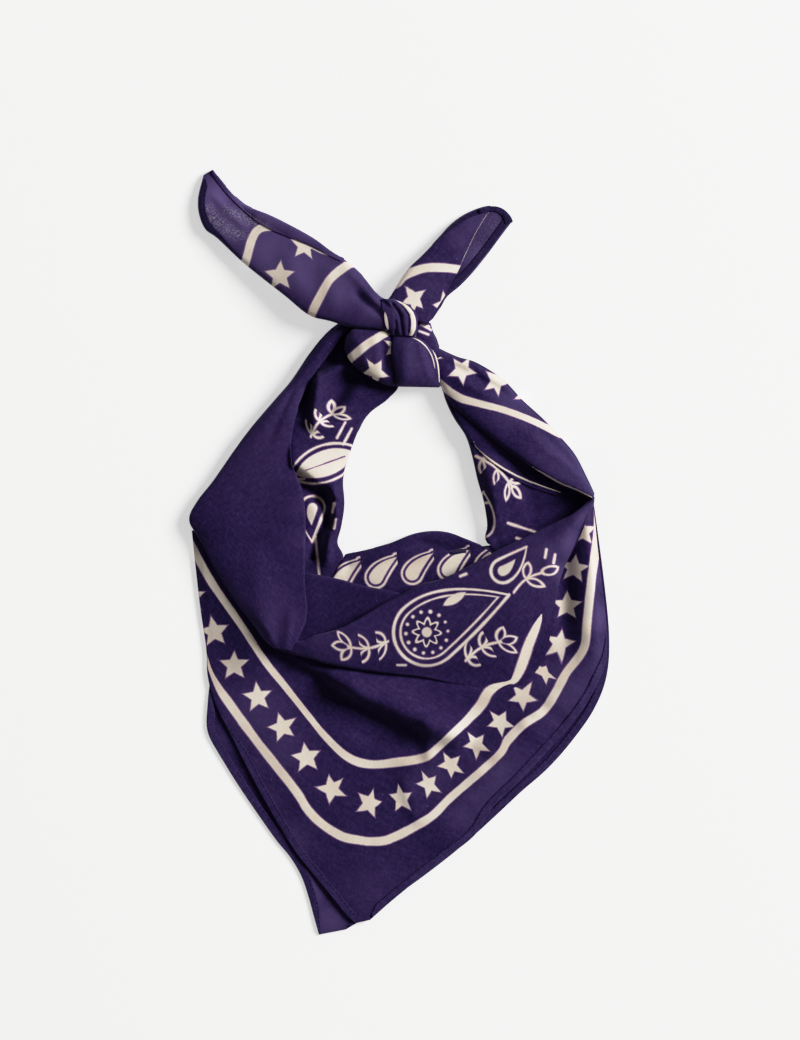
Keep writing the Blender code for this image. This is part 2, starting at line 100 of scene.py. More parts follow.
half = FLOOR_SIZE / 2
floor_mesh = bpy.data.meshes.new("table_top")
floor_mesh.from_pydata([(-half, -half, 0), (half, -half, 0), (half, half, 0), (-half, half, 0)], [],
                       [(0, 1, 2, 3)])
table_material = plain_material("light_table", (TABLE_COLOUR,) * 3, 0.9)
glow = table_material.node_tree.nodes["Principled BSDF"].inputs
glow["Emission Color"].default_value = (1, 1, 1, 1)
glow["Emission Strength"].default_value = TABLE_GLOW
floor_mesh.materials.append(table_material)
floor = bpy.data.objects.new("table_top", floor_mesh)
scene.collection.objects.link(floor)
print("table, m:", FLOOR_SIZE)

# %% Light it and look at it
world = bpy.data.worlds.new("pale_surround")
world.use_nodes = True
world.node_tree.nodes["Background"].inputs["Color"].default_value = (1.0, 0.96, 0.92, 1)
world.node_tree.nodes["Background"].inputs["Strength"].default_value = SURROUND
scene.world = world

lamp = bpy.data.lights.new("broad_lamp", "AREA")
lamp.shape, lamp.size, lamp.energy = "DISK", KEY_SIZE, KEY_POWER
lamp.color = (1.0, 0.985, 0.965)
lamp_object = bpy.data.objects.new("broad_lamp", lamp)
toward = Vector((math.cos(KEY_ELEVATION) * math.cos(KEY_AZIMUTH),
                 math.cos(KEY_ELEVATION) * math.sin(KEY_AZIMUTH), math.sin(KEY_ELEVATION)))
lamp_object.location = toward * KEY_DISTANCE
lamp_object.rotation_euler = toward.to_track_quat("Z", "Y").to_euler()
scene.collection.objects.link(lamp_object)

camera = bpy.data.cameras.new("camera_above")
camera.sensor_fit, camera.sensor_height, camera.lens = "VERTICAL", SENSOR, LENS
camera_object = bpy.data.objects.new("camera_above", camera)
camera_object.location = (*VIEW_CENTRE, LENS / SENSOR * VIEW_HEIGHT)
camera.clip_end = 40
scene.collection.objects.link(camera_object)
scene.camera = camera_object
print("camera height, m:", round(camera_object.location.z, 3))

# %% [markdown]
# ## A stretch of cloth as a table
# A garment that lies in folds has no simple solid. What it has is stretches: a flat point, a
# rolled band, a loop of the knot. Each can be drawn as a few sections, from one edge to the
# other, and a smooth curve read through them. That is easier to adjust than points pushed by
# hand, and it gives each stretch its own lengthwise and crosswise direction, which the weave
# and the print need. Lengths in the tables are millimetres.

# %% Read a smooth curve through a table's rows
def through(rows, count):
    """Count rows, evenly spaced in row number, on a smooth curve through the table's rows."""
    table = np.array(rows, dtype=float)
    padded = np.vstack([2 * table[0] - table[1], table, 2 * table[-1] - table[-2]])
    at = np.linspace(0, len(table) - 1, count)
    low = np.minimum(at.astype(int), len(table) - 2)
    t = (at - low)[:, None]
    p0, p1, p2, p3 = (padded[low + k] for k in range(4))
    return 0.5 * (2 * p1 + (p2 - p0) * t + (2 * p0 - 5 * p1 + 4 * p2 - p3) * t ** 2
                  + (3 * p1 - p0 - 3 * p2 + p3) * t ** 3)


def spread(values, count):
    """Values given at even places along a stretch, read at count places."""
    values = np.atleast_1d(np.array(values, dtype=float))
    return np.interp(np.linspace(0, 1, count), np.linspace(0, 1, len(values)), values)[:, None]


print("three places along two rows:", through([(0, 0), (10, 4)], 3).tolist())

# %% [markdown]
# ## Folds
# Cloth this thin holds two kinds of fold. Soft ones are broad swells, and creases are sharp
# where a layer was pressed. Both are drawn as a line across the stretch with a width and a
# rise, fading out at each end, so that no two need be alike. Very small ripples come from
# noise, because nobody folds those on purpose.

# %% Raise the cloth along its folds
FOLD_HOLD, FOLD_STEEP = 1.7, 1.4
SOFT, CREASE = 2.0, 1.0


def fold_rise(x, y, folds):
    """Height that folds add: from_x, from_y, to_x, to_y, width on its left and right, rise, shape."""
    rise = np.zeros_like(x)
    for from_x, from_y, to_x, to_y, left, right, height, shape in folds:
        run_x, run_y = to_x - from_x, to_y - from_y
        length = math.hypot(run_x, run_y)
        along = ((x - from_x) * run_x + (y - from_y) * run_y) / length ** 2
        off = ((y - from_y) * run_x - (x - from_x) * run_y) / length
        width = np.where(off > 0, left, right)
        fade = np.clip(FOLD_HOLD * np.sin(np.pi * np.clip(along, 0, 1)), 0, 1)
        rise += height * fade * np.exp(-FOLD_STEEP * (np.abs(off) / width) ** shape)
    return rise


def ripple(x, y, size, height):
    """Small uneven ripples: size is their usual length, height how far they rise."""
    out = np.empty_like(x)
    for index in np.ndindex(x.shape):
        place = Vector((x[index] / size, y[index] / size, size))
        out[index] = height * (noise.noise(place) + 0.5 * noise.noise(place * 2.1))
    return out


middle_of_fold = fold_rise(np.array([5.0]), np.array([0.0]), [(0, 0, 10, 0, 4, 4, 2, SOFT)])
print("a 2 mm fold rises in its middle, mm:", middle_of_fold.tolist())

# %% [markdown]
# ## Laying one stretch on another
# Real layers touch but never pass through each other. So the stretches are laid in order, and
# each one looks straight down from every one of its points for the cloth that is already
# there. It keeps a hair's breadth above that. This gives the small steps and shadows at the
# edges that make a fold read as a fold.

# %% Find the cloth below a stretch
AIR = 0.15
LOOK_FROM = 120.0
DOWN = Vector((0, 0, -1))
laid = []


def cloth_below(x, y):
    """Highest cloth already laid under each grid point and its neighbours, or the floor."""
    height = np.zeros(x.shape)
    for tree, (low_x, high_x, low_y, high_y) in laid:
        if low_x > x.max() or high_x < x.min() or low_y > y.max() or high_y < y.min():
            continue
        near = (x > low_x - 1) & (x < high_x + 1) & (y > low_y - 1) & (y < high_y + 1)
        for index in zip(*np.nonzero(near)):
            hit = tree.ray_cast(Vector((x[index], y[index], LOOK_FROM)), DOWN)[0]
            if hit is not None and hit.z > height[index]:
                height[index] = hit.z
    grown = np.pad(height, 1, mode="edge")
    rows, columns = height.shape
    return np.max([grown[i:i + rows, j:j + columns] for i in range(3) for j in range(3)], axis=0)


print("stretches laid so far:", len(laid))

# %% [markdown]
# ## The shell of a stretch
# A flat point is one layer, so it is a thin sheet with a rim. A band or a loop is cloth folded
# round on itself, so its shell goes all the way round: over the top, down the rolled edge,
# under, and up again. Its sides bulge in one to three soft lips, as a hint of the layers
# inside. Seen closely from the side they are still plainer than a real folded edge.

# %% Choose the cloth's thickness and edges
CLOTH = 0.5
FEATHER_EDGE = 0.08
LIP = 1.2
LIP_SWAY, LIP_SWAY_LENGTH = 0.35, 17.0
TUCK_UNDER, TUCK_MOST = 0.3, 4.0
SIDE_STEPS = 11
LIP_HEIGHT, LIPS_MOST = 5.0, 3
UNDER_STEP = 3
RIPPLES = ((34, 0.5), (11, 0.14))


def write_uv(mesh, name, values):
    """Give the mesh a UV map from one pair of numbers for each point."""
    corners = np.empty(len(mesh.loops), dtype=np.int32)
    mesh.loops.foreach_get("vertex_index", corners)
    layer = mesh.uv_layers.new(name=name)
    layer.data.foreach_set("uv", values[corners].astype(np.float32).ravel())


print("thickness of the cloth, mm:", CLOTH)


# %% Shape, close and lay a stretch
class Stretch:
    """One laid stretch of cloth, in millimetres: its plan grid, its top and its underside."""

    def __init__(self, name, rows, pitch=2.0, crest=0.5, soft_a=0.5, soft_b=0.5, folds=(), wall=None,
                 ripples=RIPPLES, edge_fade=5.0, merge_b=0.0):
        self.name, self.thin = name, wall is not None
        table = np.array(rows, dtype=float)
        middle = (table[:, 0:2] + table[:, 3:5]) / 2
        length = np.linalg.norm(np.diff(middle, axis=0), axis=1).sum()
        width = np.linalg.norm(table[:, 0:2] - table[:, 3:5], axis=1).max()
        along, across = max(10, int(length / pitch) + 1), max(10, int(width / pitch) + 1)
        a_x, a_y, a_z, b_x, b_y, b_z, crown, sag, lift = (c[:, None] for c in through(rows, along).T)
        even = np.linspace(0, 1, across + 1)[None, :]
        v = 0.4 * even + 0.6 * (0.5 - 0.5 * np.cos(np.pi * even))
        crest, soft_a, soft_b = (spread(given, along) for given in (crest, soft_a, soft_b))
        away = np.where(v < crest, (crest - v) / crest, (v - crest) / (1 - crest))
        bulge = (1 - away ** 2) ** np.where(v < crest, soft_a, soft_b)
        self.x = a_x + (b_x - a_x) * v
        self.y = a_y + (b_y - a_y) * v - sag * 4 * v * (1 - v)
        reach = np.hypot(b_x - a_x, b_y - a_y)
        inner = np.clip(reach * np.minimum(v, 1 - v) / edge_fade, 0, 1)
        top = a_z + (b_z - a_z) * v + crown * bulge + fold_rise(self.x, self.y, folds) * inner
        for size, height in ripples:
            top += ripple(self.x, self.y, size, height) * (0.25 + 0.75 * inner)
        feather = spread(merge_b, along) * np.clip(2.5 * (v - 0.6), 0, 1)
        seat = cloth_below(self.x, self.y) + AIR * (1 - feather)
        self.bottom = np.maximum(seat, top - wall if self.thin else lift)
        self.top = np.maximum(top, self.bottom + CLOTH - (CLOTH - FEATHER_EDGE) * feather)

    def loops(self):
        """Points of the closed sections: over the top, round edge b, back below, round edge a.
        The plan for the print is unrolled: down a side it goes on outwards, as flat cloth would."""
        t = np.linspace(0, 1, (3 if self.thin else SIDE_STEPS) + 2)[None, 1:-1]
        plan = np.stack([self.x, self.y], axis=2)
        outward = plan[:, -1] - plan[:, 0]
        outward /= np.maximum(np.linalg.norm(outward, axis=1, keepdims=True), 1e-6)
        sides, unrolled, tucks = [], [], []
        for side, way in ((-1, 1), (0, -1)):
            tall = (self.top[:, side] - self.bottom[:, side])[:, None]
            lobes = np.clip(np.round(tall / LIP_HEIGHT), 1, LIPS_MOST)
            sway = 1 + LIP_SWAY * np.sin(plan[:, side].sum(axis=1) / LIP_SWAY_LENGTH)[:, None]
            lips = np.abs(np.sin(np.pi * lobes * t ** sway))
            push = np.minimum(LIP, 0.3 * tall) * (1.6 - 0.6 * sway) * lips
            outward_here = way * outward[:, None, :]
            tuck = np.minimum(TUCK_UNDER * tall, TUCK_MOST) * (tall > LIP_HEIGHT)
            tucks.append(-way * tuck)
            edge = plan[:, side][:, None, :] + outward_here * (push - tuck * t ** 2)[..., None]
            height = self.top[:, side][:, None] - tall * t
            sides.append(np.concatenate([edge, height[..., None]], axis=2))
            unrolled.append(plan[:, side][:, None, :] + outward_here * (tall * t)[..., None])
        over = np.stack([self.x, self.y, self.top], axis=2)
        share = np.linspace(0, 1, self.x.shape[1])[None, :]
        squeezed = plan + outward[:, None, :] * (tucks[0] * share + tucks[1] * (1 - share))[..., None]
        under = np.concatenate([squeezed, self.bottom[..., None]], axis=2)
        under = under[:, ::-1]
        if not self.thin:
            under = under[:, list(range(0, under.shape[1] - 1, UNDER_STEP)) + [-1]]
        flat = np.concatenate([plan, unrolled[0], under[..., :2], unrolled[1][:, ::-1]], axis=1)
        self.plan = flat.reshape(-1, 2)
        return np.concatenate([over, sides[0], under, sides[1][:, ::-1]], axis=1)

    def make(self, material, slot):
        """Add the closed mesh to the scene, with its weave coordinates, and lay it down."""
        points = self.loops()
        rows, columns, _ = points.shape
        here = np.arange(rows - 1)[None, :] * columns + np.arange(columns)[:, None]
        beside = np.arange(rows - 1)[None, :] * columns + ((np.arange(columns) + 1) % columns)[:, None]
        faces = np.stack([here, here + columns, beside + columns, beside], axis=2).reshape(-1, 4)
        faces = faces.tolist() + [list(range(columns)),
                                  [(rows - 1) * columns + j for j in reversed(range(columns))]]
        middle, last = rows // 2, self.x.shape[1] - 1
        step = points[middle + 1, 0, :2] - points[middle, 0, :2]
        span = points[middle, last, :2] - points[middle, 0, :2]
        if step[0] * span[1] < step[1] * span[0]:
            faces = [face[::-1] for face in faces]
        mesh = bpy.data.meshes.new(self.name)
        mesh.from_pydata((points.reshape(-1, 3) * MM).tolist(), [], faces)
        steps = np.linalg.norm(np.diff(points, axis=1), axis=2)
        across = np.concatenate([np.zeros((rows, 1)), np.cumsum(steps, axis=1)], axis=1)
        steps = np.linalg.norm(np.diff(points[:, last // 2], axis=0), axis=1)
        along = np.repeat(np.concatenate([[0], np.cumsum(steps)])[:, None], columns, axis=1)
        write_uv(mesh, "cloth", np.stack([across, along], axis=2).reshape(-1, 2) * MM)
        mesh.materials.append(material)
        mesh.shade_smooth()
        self.object = bpy.data.objects.new(self.name, mesh)
        scene.collection.objects.link(self.object)
        self.width, self.length = float(across[:, last].max()), float(along[-1, 0])
        self.slot = slot
        corner = points[:-1, :last + SIDE_STEPS]
        sides = points[1:, :last + SIDE_STEPS] - corner, points[:-1, 1:last + SIDE_STEPS + 1] - corner
        self.cut_area = float(np.linalg.norm(np.cross(*sides), axis=2).sum())
        over = points[:, :last + 1]
        grid = (np.arange(rows - 1)[:, None] * (last + 1) + np.arange(last)[None, :]).ravel()
        quads = np.stack([grid, grid + last + 1, grid + last + 2, grid + 1], axis=1)
        tree = BVHTree.FromPolygons(over.reshape(-1, 3).tolist(), quads.tolist())
        laid.append((tree, (self.x.min(), self.x.max(), self.y.min(), self.y.max())))
        print(f"{self.name}: {len(faces)} faces, top {self.top.max():.1f} mm")
        return self


# %% [markdown]
# ## Where the print lies
# The border print is two cream lines with a row of stars between them. It is printed on flat
# cloth, so it bends wherever the cloth was folded. The shader should not have to know that.
# So each point of a shell stores how far it lies from each line, and how far along the row of
# stars. These numbers go into UV maps, which follow the cloth and survive an export.
#
# The map of wear and painted light holds two more. Thin places let a light speckle through,
# as worn cotton does. Pale places are painted light, not wear: they lighten cloth that the
# folds alone leave too dark from above, and under another lamp they stay where they are.

# %% Measure the print on a shell
LINE_HALF_WIDTH = 2.6
STAR_PITCH = 25.0
FAR = 60.0
PATH_STEPS = 14
ZONE_PITCH = 300.0


def nearest_on_path(plan, rows):
    """For each plan point: its distance from a smooth path, the side it is on, its row values."""
    path = through(rows, (len(rows) - 1) * PATH_STEPS + 1)
    best = np.full(len(plan), 1e9)
    side = np.ones(len(plan))
    values = np.zeros((len(plan), path.shape[1] - 2))
    for start, end in zip(path[:-1], path[1:]):
        run = end[:2] - start[:2]
        share = np.clip((plan - start[:2]) @ run / max(run @ run, 1e-9), 0, 1)
        gap = plan - (start[:2] + share[:, None] * run)
        distance = np.hypot(gap[:, 0], gap[:, 1])
        closer = distance < best
        best[closer] = distance[closer]
        side[closer] = np.sign(run[0] * gap[closer, 1] - run[1] * gap[closer, 0] + 1e-12)
        values[closer] = start[2:] + share[closer, None] * (end[2:] - start[2:])
    return best, side, values


def line_distance(plan, paths):
    """Distance from the nearest printed line, where 1 is its edge. A path's rows: x, y, half width."""
    result = np.full(len(plan), FAR)
    for rows in paths:
        distance, _, values = nearest_on_path(plan, rows)
        result = np.minimum(result, distance / np.maximum(values[:, 0], 0.05))
    return np.minimum(result, FAR)


def spots(plan, places):
    """Soft round patches: each place is x, y, its reach and its strength."""
    result = np.zeros(len(plan))
    for x, y, reach, strength in places:
        near = np.exp(-((plan[:, 0] - x) ** 2 + (plan[:, 1] - y) ** 2) / reach ** 2)
        result = np.maximum(result, strength * near)
    return result


print("stars along their row, mm apart:", STAR_PITCH)


# %% Write the print into a shell
def add_print(stretch, outer=(), inner=(), stars=None, turn=0, art=None, thin=(), painted_light=()):
    """Give a stretch's mesh the UV maps lines, stars, art, and a map of thin places and of pale patches of
    painted light.
    """
    mesh, plan = stretch.object.data, stretch.plan
    write_uv(mesh, "lines", np.stack([line_distance(plan, outer), line_distance(plan, inner)], axis=1))
    star = np.full((len(plan), 2), FAR)
    if stars is not None:
        distance, side, values = nearest_on_path(plan, stars)
        number = np.round(values[:, 0] / STAR_PITCH)
        along, off = values[:, 0] - number * STAR_PITCH, distance * side
        cos, sin = math.cos(math.radians(turn)), math.sin(math.radians(turn))
        turned_along = np.clip(along * cos + off * sin, -0.49 * STAR_PITCH, 0.49 * STAR_PITCH)
        star = np.stack([number * STAR_PITCH + turned_along, off * cos - along * sin], axis=1)
    write_uv(mesh, "stars", star)
    if art is not None:
        x, y, turn, zone = art
        cos, sin = math.cos(math.radians(turn)), math.sin(math.radians(turn))
        offset = plan - np.array([x, y])
        place = np.stack([offset[:, 0] * cos + offset[:, 1] * sin + zone * ZONE_PITCH,
                          offset[:, 1] * cos - offset[:, 0] * sin], axis=1)
        write_uv(mesh, "art", place)
    # Its second number is painted light: pale patches that lighten cloth the folds leave too dark.
    wear = np.stack([spots(plan, thin), spots(plan, painted_light)], axis=1)
    write_uv(mesh, "wear", wear)


print("a distance in a map stops at:", FAR)

# %% [markdown]
# ## Sums in a shader
# Every printed shape here is a distance: negative inside, positive outside, in millimetres.
# A node tree of such sums is long to write link by link. This small class lets the sums be
# written as sums. Each one still becomes an ordinary Math node that can be looked at.

# %% Write node sums as sums
class Field:
    """A number that changes over the cloth: the output of a node."""

    def __init__(self, tree, socket):
        self.tree, self.socket = tree, socket

    def sum(self, operation, *others, clamp=False):
        node = self.tree.nodes.new("ShaderNodeMath")
        node.operation, node.use_clamp = operation, clamp
        for slot, value in zip(node.inputs, (self, *others)):
            if isinstance(value, Field):
                self.tree.links.new(value.socket, slot)
            else:
                slot.default_value = value
        return Field(self.tree, node.outputs[0])

    def __add__(self, other):
        return self.sum("ADD", other)

    def __sub__(self, other):
        return self.sum("SUBTRACT", other)

    def __mul__(self, other):
        return self.sum("MULTIPLY", other)

    def __truediv__(self, other):
        return self.sum("DIVIDE", other)

    def least(self, *others):
        result = self
        for other in others:
            result = result.sum("MINIMUM", other)
        return result

    def most(self, other):
        return self.sum("MAXIMUM", other)

    def size(self):
        return self.sum("ABSOLUTE")

    def root(self):
        return self.sum("SQRT")

    def sin(self):
        return self.sum("SINE")

    def cos(self):
        return self.sum("COSINE")

    def step(self, edge, soft):
        """1 where the field is under the edge, 0 over it, with a soft change between."""
        return (self * (-1 / soft) + (edge / soft + 0.5)).sum("ADD", 0.0, clamp=True)


print("a field can be:", ", ".join(name for name in vars(Field) if not name.startswith("_")))


# %% Group the sums
def hypot(x, y):
    return (x * x + y * y).root()


def angle_of(x, y):
    return y.sum("ARCTAN2", x)


def link(tree, value, socket):
    if isinstance(value, Field):
        tree.links.new(value.socket, socket)
    else:
        socket.default_value = value


def new_group(name, inputs, outputs):
    """A shader node group with named number sockets, and its inputs as fields."""
    group = bpy.data.node_groups.new(name, "ShaderNodeTree")
    for socket in inputs:
        group.interface.new_socket(name=socket, in_out="INPUT", socket_type="NodeSocketFloat")
    for socket in outputs:
        group.interface.new_socket(name=socket, in_out="OUTPUT", socket_type="NodeSocketFloat")
    entry = group.nodes.new("NodeGroupInput")
    return group, [Field(group, entry.outputs[socket]) for socket in inputs]


def close_group(group, *values):
    """Link the group's results to its outputs."""
    leave = group.nodes.new("NodeGroupOutput")
    for slot, value in zip(leave.inputs, values):
        link(group, value, slot)
    return group


def use_group(tree, group, *values):
    """A node that runs the group on these values; its outputs as fields."""
    node = tree.nodes.new("ShaderNodeGroup")
    node.node_tree = group
    for slot, value in zip(node.inputs, values):
        link(tree, value, slot)
    return [Field(tree, socket) for socket in node.outputs]


print("node groups so far:", len(bpy.data.node_groups))

# %% Read the cloth's own maps
def read_uv(tree, name):
    """The two numbers of a UV map as fields."""
    node = tree.nodes.new("ShaderNodeUVMap")
    node.uv_map = name
    split = tree.nodes.new("ShaderNodeSeparateXYZ")
    tree.links.new(node.outputs["UV"], split.inputs[0])
    return Field(tree, split.outputs["X"]), Field(tree, split.outputs["Y"])


def noise_field(tree, x, y, z=0.0, detail=2.0, roughness=0.5):
    """Smooth noise from 0 to 1 at a place given by fields."""
    join = tree.nodes.new("ShaderNodeCombineXYZ")
    for value, slot in zip((x, y, z), join.inputs):
        link(tree, value, slot)
    node = tree.nodes.new("ShaderNodeTexNoise")
    node.inputs["Scale"].default_value = 1.0
    node.inputs["Detail"].default_value = detail
    node.inputs["Roughness"].default_value = roughness
    tree.links.new(join.outputs[0], node.inputs["Vector"])
    return Field(tree, node.outputs[0])


print("maps that a cotton can read: cloth, lines, stars, art, wear")

# %% [markdown]
# ## The star
# A five-pointed star is ten mirror images of one short edge. The angle is folded into one
# tenth of a turn, and the distance from that single edge gives the whole star. The row number
# feeds a noise, so that every star is turned a little differently. Their size stays the same.

# %% Build the star group
STAR_TIP, STAR_WAIST = 9.2, 4.3
STAR_TURN, STAR_WOBBLE = -0.14, 0.20
FIFTH = 2 * math.pi / 5


def build_star_group():
    group, (along, off) = new_group("printed_star", ["Along", "Off"], ["Distance"])
    number = (along / STAR_PITCH).sum("ROUND")
    random = group.nodes.new("ShaderNodeTexWhiteNoise")
    random.noise_dimensions = "1D"
    group.links.new(number.socket, random.inputs["W"])
    chance = Field(group, random.outputs["Value"])
    local = along - number * STAR_PITCH
    angle = angle_of(local, off) + (chance - 0.5) * STAR_WOBBLE + STAR_TURN
    folded = angle.sum("PINGPONG", FIFTH / 2)
    reach = hypot(local, off)
    p_x, p_y = reach * folded.cos(), reach * folded.sin()
    edge_x = STAR_WAIST * math.cos(FIFTH / 2) - STAR_TIP
    edge_y = STAR_WAIST * math.sin(FIFTH / 2)
    edge = math.hypot(edge_x, edge_y)
    distance = (p_x - STAR_TIP) * (edge_y / edge) + p_y * (-edge_x / edge)
    return close_group(group, distance)


star_group = build_star_group()
print("star group:", len(star_group.nodes), "nodes")

# %% [markdown]
# ## The cotton
# The cloth is a fine plain weave, and cheap cotton yarn has slubs: short thick places that
# run along the threads both ways and catch the light. Colour varies slightly with them, since
# a thick place holds more dye. A fine nap gives lit folds a lilac bloom, which the sheen
# layer does. The cream is bare yarn, a little warmer where the dye has crept into its edges.

# %% Choose the cotton's colours
NAVY = (0.0156, 0.0086, 0.0445)
NAVY_WORN = (0.0335, 0.0215, 0.0835)
CREAM = (0.800, 0.735, 0.650)
CREAM_WARM = (0.640, 0.500, 0.400)
BLEED = (0.300, 0.150, 0.360)
LINT = (0.34, 0.32, 0.46)
# Pale is the colour of painted light, which lightens cloth that the folds leave too dark.
PAINTED_LIGHT_COLOUR = (0.098, 0.066, 0.196)
SHOWING_THROUGH = (0.30, 0.27, 0.34)
THREAD = 0.46
EDGE_BLUR = 0.35
print("navy, unworn and worn:", NAVY, NAVY_WORN)


# %% Make a cotton
def mix_colour(tree, factor, first, second):
    """One colour to another by a factor; each colour is three numbers or a socket."""
    node = tree.nodes.new("ShaderNodeMix")
    node.data_type = "RGBA"
    link(tree, factor, node.inputs["Factor"])
    for value, slot in ((first, node.inputs["A"]), (second, node.inputs["B"])):
        if isinstance(value, tuple):
            slot.default_value = (*value, 1)
        else:
            tree.links.new(value, slot)
    return node.outputs["Result"]


def cotton(name, navy, worn, grain, roughness=0.85, sheen=0.14, print_on=True, drawn=False):
    """Printed cotton whose threads lie at grain degrees to the shell's own directions."""
    material = bpy.data.materials.new(name)
    material.use_nodes = True
    tree = material.node_tree
    shader = tree.nodes["Principled BSDF"]
    cloth_u, cloth_v = read_uv(tree, "cloth")
    cos, sin = math.cos(math.radians(grain)) / MM, math.sin(math.radians(grain)) / MM
    warp, weft = cloth_u * cos + cloth_v * sin, cloth_v * cos - cloth_u * sin
    slub_a = noise_field(tree, warp * 1.5, weft * 0.11, 3.0, 3.0, 0.6)
    slub_b = noise_field(tree, warp * 0.11, weft * 1.5, 9.0, 3.0, 0.6)
    slub = slub_a + slub_b
    grainy = noise_field(tree, warp * 0.9, weft * 0.9, 5.0, 3.0, 0.7)
    blotch = noise_field(tree, warp * 0.035, weft * 0.035, 7.0, 3.0, 0.55)
    weave = (warp * (2 * math.pi / THREAD)).sin() * (weft * (2 * math.pi / THREAD)).sin()
    height = slub * 0.11 + grainy * 0.08 + weave * 0.02
    cloud = noise_field(tree, warp * 0.32, weft * 0.32, 8.0, 3.0, 0.6)
    faded = ((slub - 1.0) * 1.7 + (grainy - 0.5) * 1.3 + (cloud - 0.5) * 1.9 + (blotch - 0.5) * 1.0
             + 0.32)
    colour = mix_colour(tree, faded.sum("ADD", 0.0, clamp=True), navy, worn)
    if print_on:
        thin, painted_light = read_uv(tree, "wear")
        # Painted light: the pale patches lighten the cloth where the folds alone read too dark.
        colour = mix_colour(tree, painted_light, colour, PAINTED_LIGHT_COLOUR)
        outer, inner = read_uv(tree, "lines")
        along, off = read_uv(tree, "stars")
        stars = use_group(tree, star_group, along, off)[0]
        lines = (outer.least(inner) - 1.0) * LINE_HALF_WIDTH
        ragged = ((noise_field(tree, warp * 0.8, weft * 0.8, 1.0, 2.0) - 0.5) * 0.45
                  + (noise_field(tree, warp * 0.07, weft * 0.07, 2.0, 1.0) - 0.5) * 0.9)
        bare = stars.least(lines)
        if drawn:
            bare = bare.least(use_group(tree, art_group, *read_uv(tree, "art"))[0])
        bare = bare + ragged
        cream = mix_colour(tree, (slub - 0.75) * 0.8 + (blotch - 0.5) * 1.4 + 0.1, CREAM, CREAM_WARM)
        rim = bare.step(EDGE_BLUR * 1.6, EDGE_BLUR)
        colour = mix_colour(tree, rim * 0.55, colour, BLEED)
        colour = mix_colour(tree, bare.step(0.0, EDGE_BLUR), colour, cream)
        speckle = noise_field(tree, warp * 0.85, weft * 0.85, 4.0, 3.0, 0.8)
        colour = mix_colour(tree, ((speckle - 0.48) * 6.5).sum("MULTIPLY", thin, clamp=True), colour,
                            SHOWING_THROUGH)
    cells = tree.nodes.new("ShaderNodeTexVoronoi")
    cells.inputs["Scale"].default_value = 1.0
    join = tree.nodes.new("ShaderNodeCombineXYZ")
    link(tree, warp * 0.13, join.inputs[0])
    link(tree, weft * 0.13, join.inputs[1])
    tree.links.new(join.outputs[0], cells.inputs["Vector"])
    hue = tree.nodes.new("ShaderNodeSeparateColor")
    tree.links.new(cells.outputs["Color"], hue.inputs[0])
    fluff = (Field(tree, cells.outputs["Distance"]).step(0.032, 0.03)
             * (Field(tree, hue.outputs[0]) * -1.0).step(-0.62, 0.1))
    colour = mix_colour(tree, fluff * 0.5, colour, LINT)
    tree.links.new(colour, shader.inputs["Base Color"])
    bump = tree.nodes.new("ShaderNodeBump")
    bump.inputs["Strength"].default_value = 0.65
    bump.inputs["Distance"].default_value = MM
    link(tree, height, bump.inputs["Height"])
    tree.links.new(bump.outputs["Normal"], shader.inputs["Normal"])
    shader.inputs["Roughness"].default_value = roughness
    shader.inputs["Specular IOR Level"].default_value = 0.10
    shader.inputs["Sheen Weight"].default_value = sheen
    shader.inputs["Sheen Roughness"].default_value = 0.45
    shader.inputs["Sheen Tint"].default_value = (0.55, 0.48, 0.95, 1)
    return material


print("threads, mm apart:", THREAD)

# %% [markdown]
# ## The drawn pattern
# Inside its border a bandana carries larger drawings in the same cream. This one gets the
# traditional ones: bent drops, which are paisleys, leafy sprigs, small flowers, dots and dashes.
# Each is a formula for the distance from its edge, so lines stay crisp at any size. The
# drawings stand on one imaginary sheet in zones, and each stretch looks at the zone it needs.

# %% Shapes to draw with
LINE = 0.85
print("drawn lines, mm wide:", 2 * LINE)


def turned(x, y, centre_x, centre_y, degrees):
    """Coordinates seen from a centre, turned by an angle."""
    cos, sin = math.cos(math.radians(degrees)), math.sin(math.radians(degrees))
    x, y = x - centre_x, y - centre_y
    return x * cos + y * sin, y * cos - x * sin


def drop(x, y, radius, length, bend):
    """A drop that starts round at the centre and ends in a point, bent sideways along y."""
    share = (y / length).sum("ADD", 0.0, clamp=True)
    x = x + share * share * bend
    return hypot(x, y - share * length) - (share * share * -1.0 + 1.0) * radius


def leaf(x, y, half_length, half_width):
    """A pointed leaf along x, where two circles overlap."""
    reach = (half_length ** 2 + half_width ** 2) / (2 * half_width)
    return hypot(x, y.size() + (reach - half_width)) - reach


def dash(x, y, half_length, half_width):
    """A short line along x with round ends."""
    return hypot((x.size() - half_length).most(0.0), y) - half_width


def outline(shape, half_width=LINE, inset=0.0):
    return (shape + inset).size() - half_width


def repeated(x, pitch, count):
    """A coordinate that starts again at every pitch, for a number of times to each side."""
    step = (x / pitch).sum("ROUND").most(-float(count)).sum("MINIMUM", float(count))
    return x - step * pitch


def flower(x, y, petals, radius, depth):
    """A round flower with petals, as a wavy circle."""
    return hypot(x, y) - ((angle_of(x, y) * petals).cos() * depth + radius)


def ring_of_dots(x, y, count, radius, dot):
    turn = angle_of(x, y).sum("PINGPONG", math.pi / count)
    reach = hypot(x, y)
    return hypot(reach * turn.cos() - radius, reach * turn.sin()) - dot


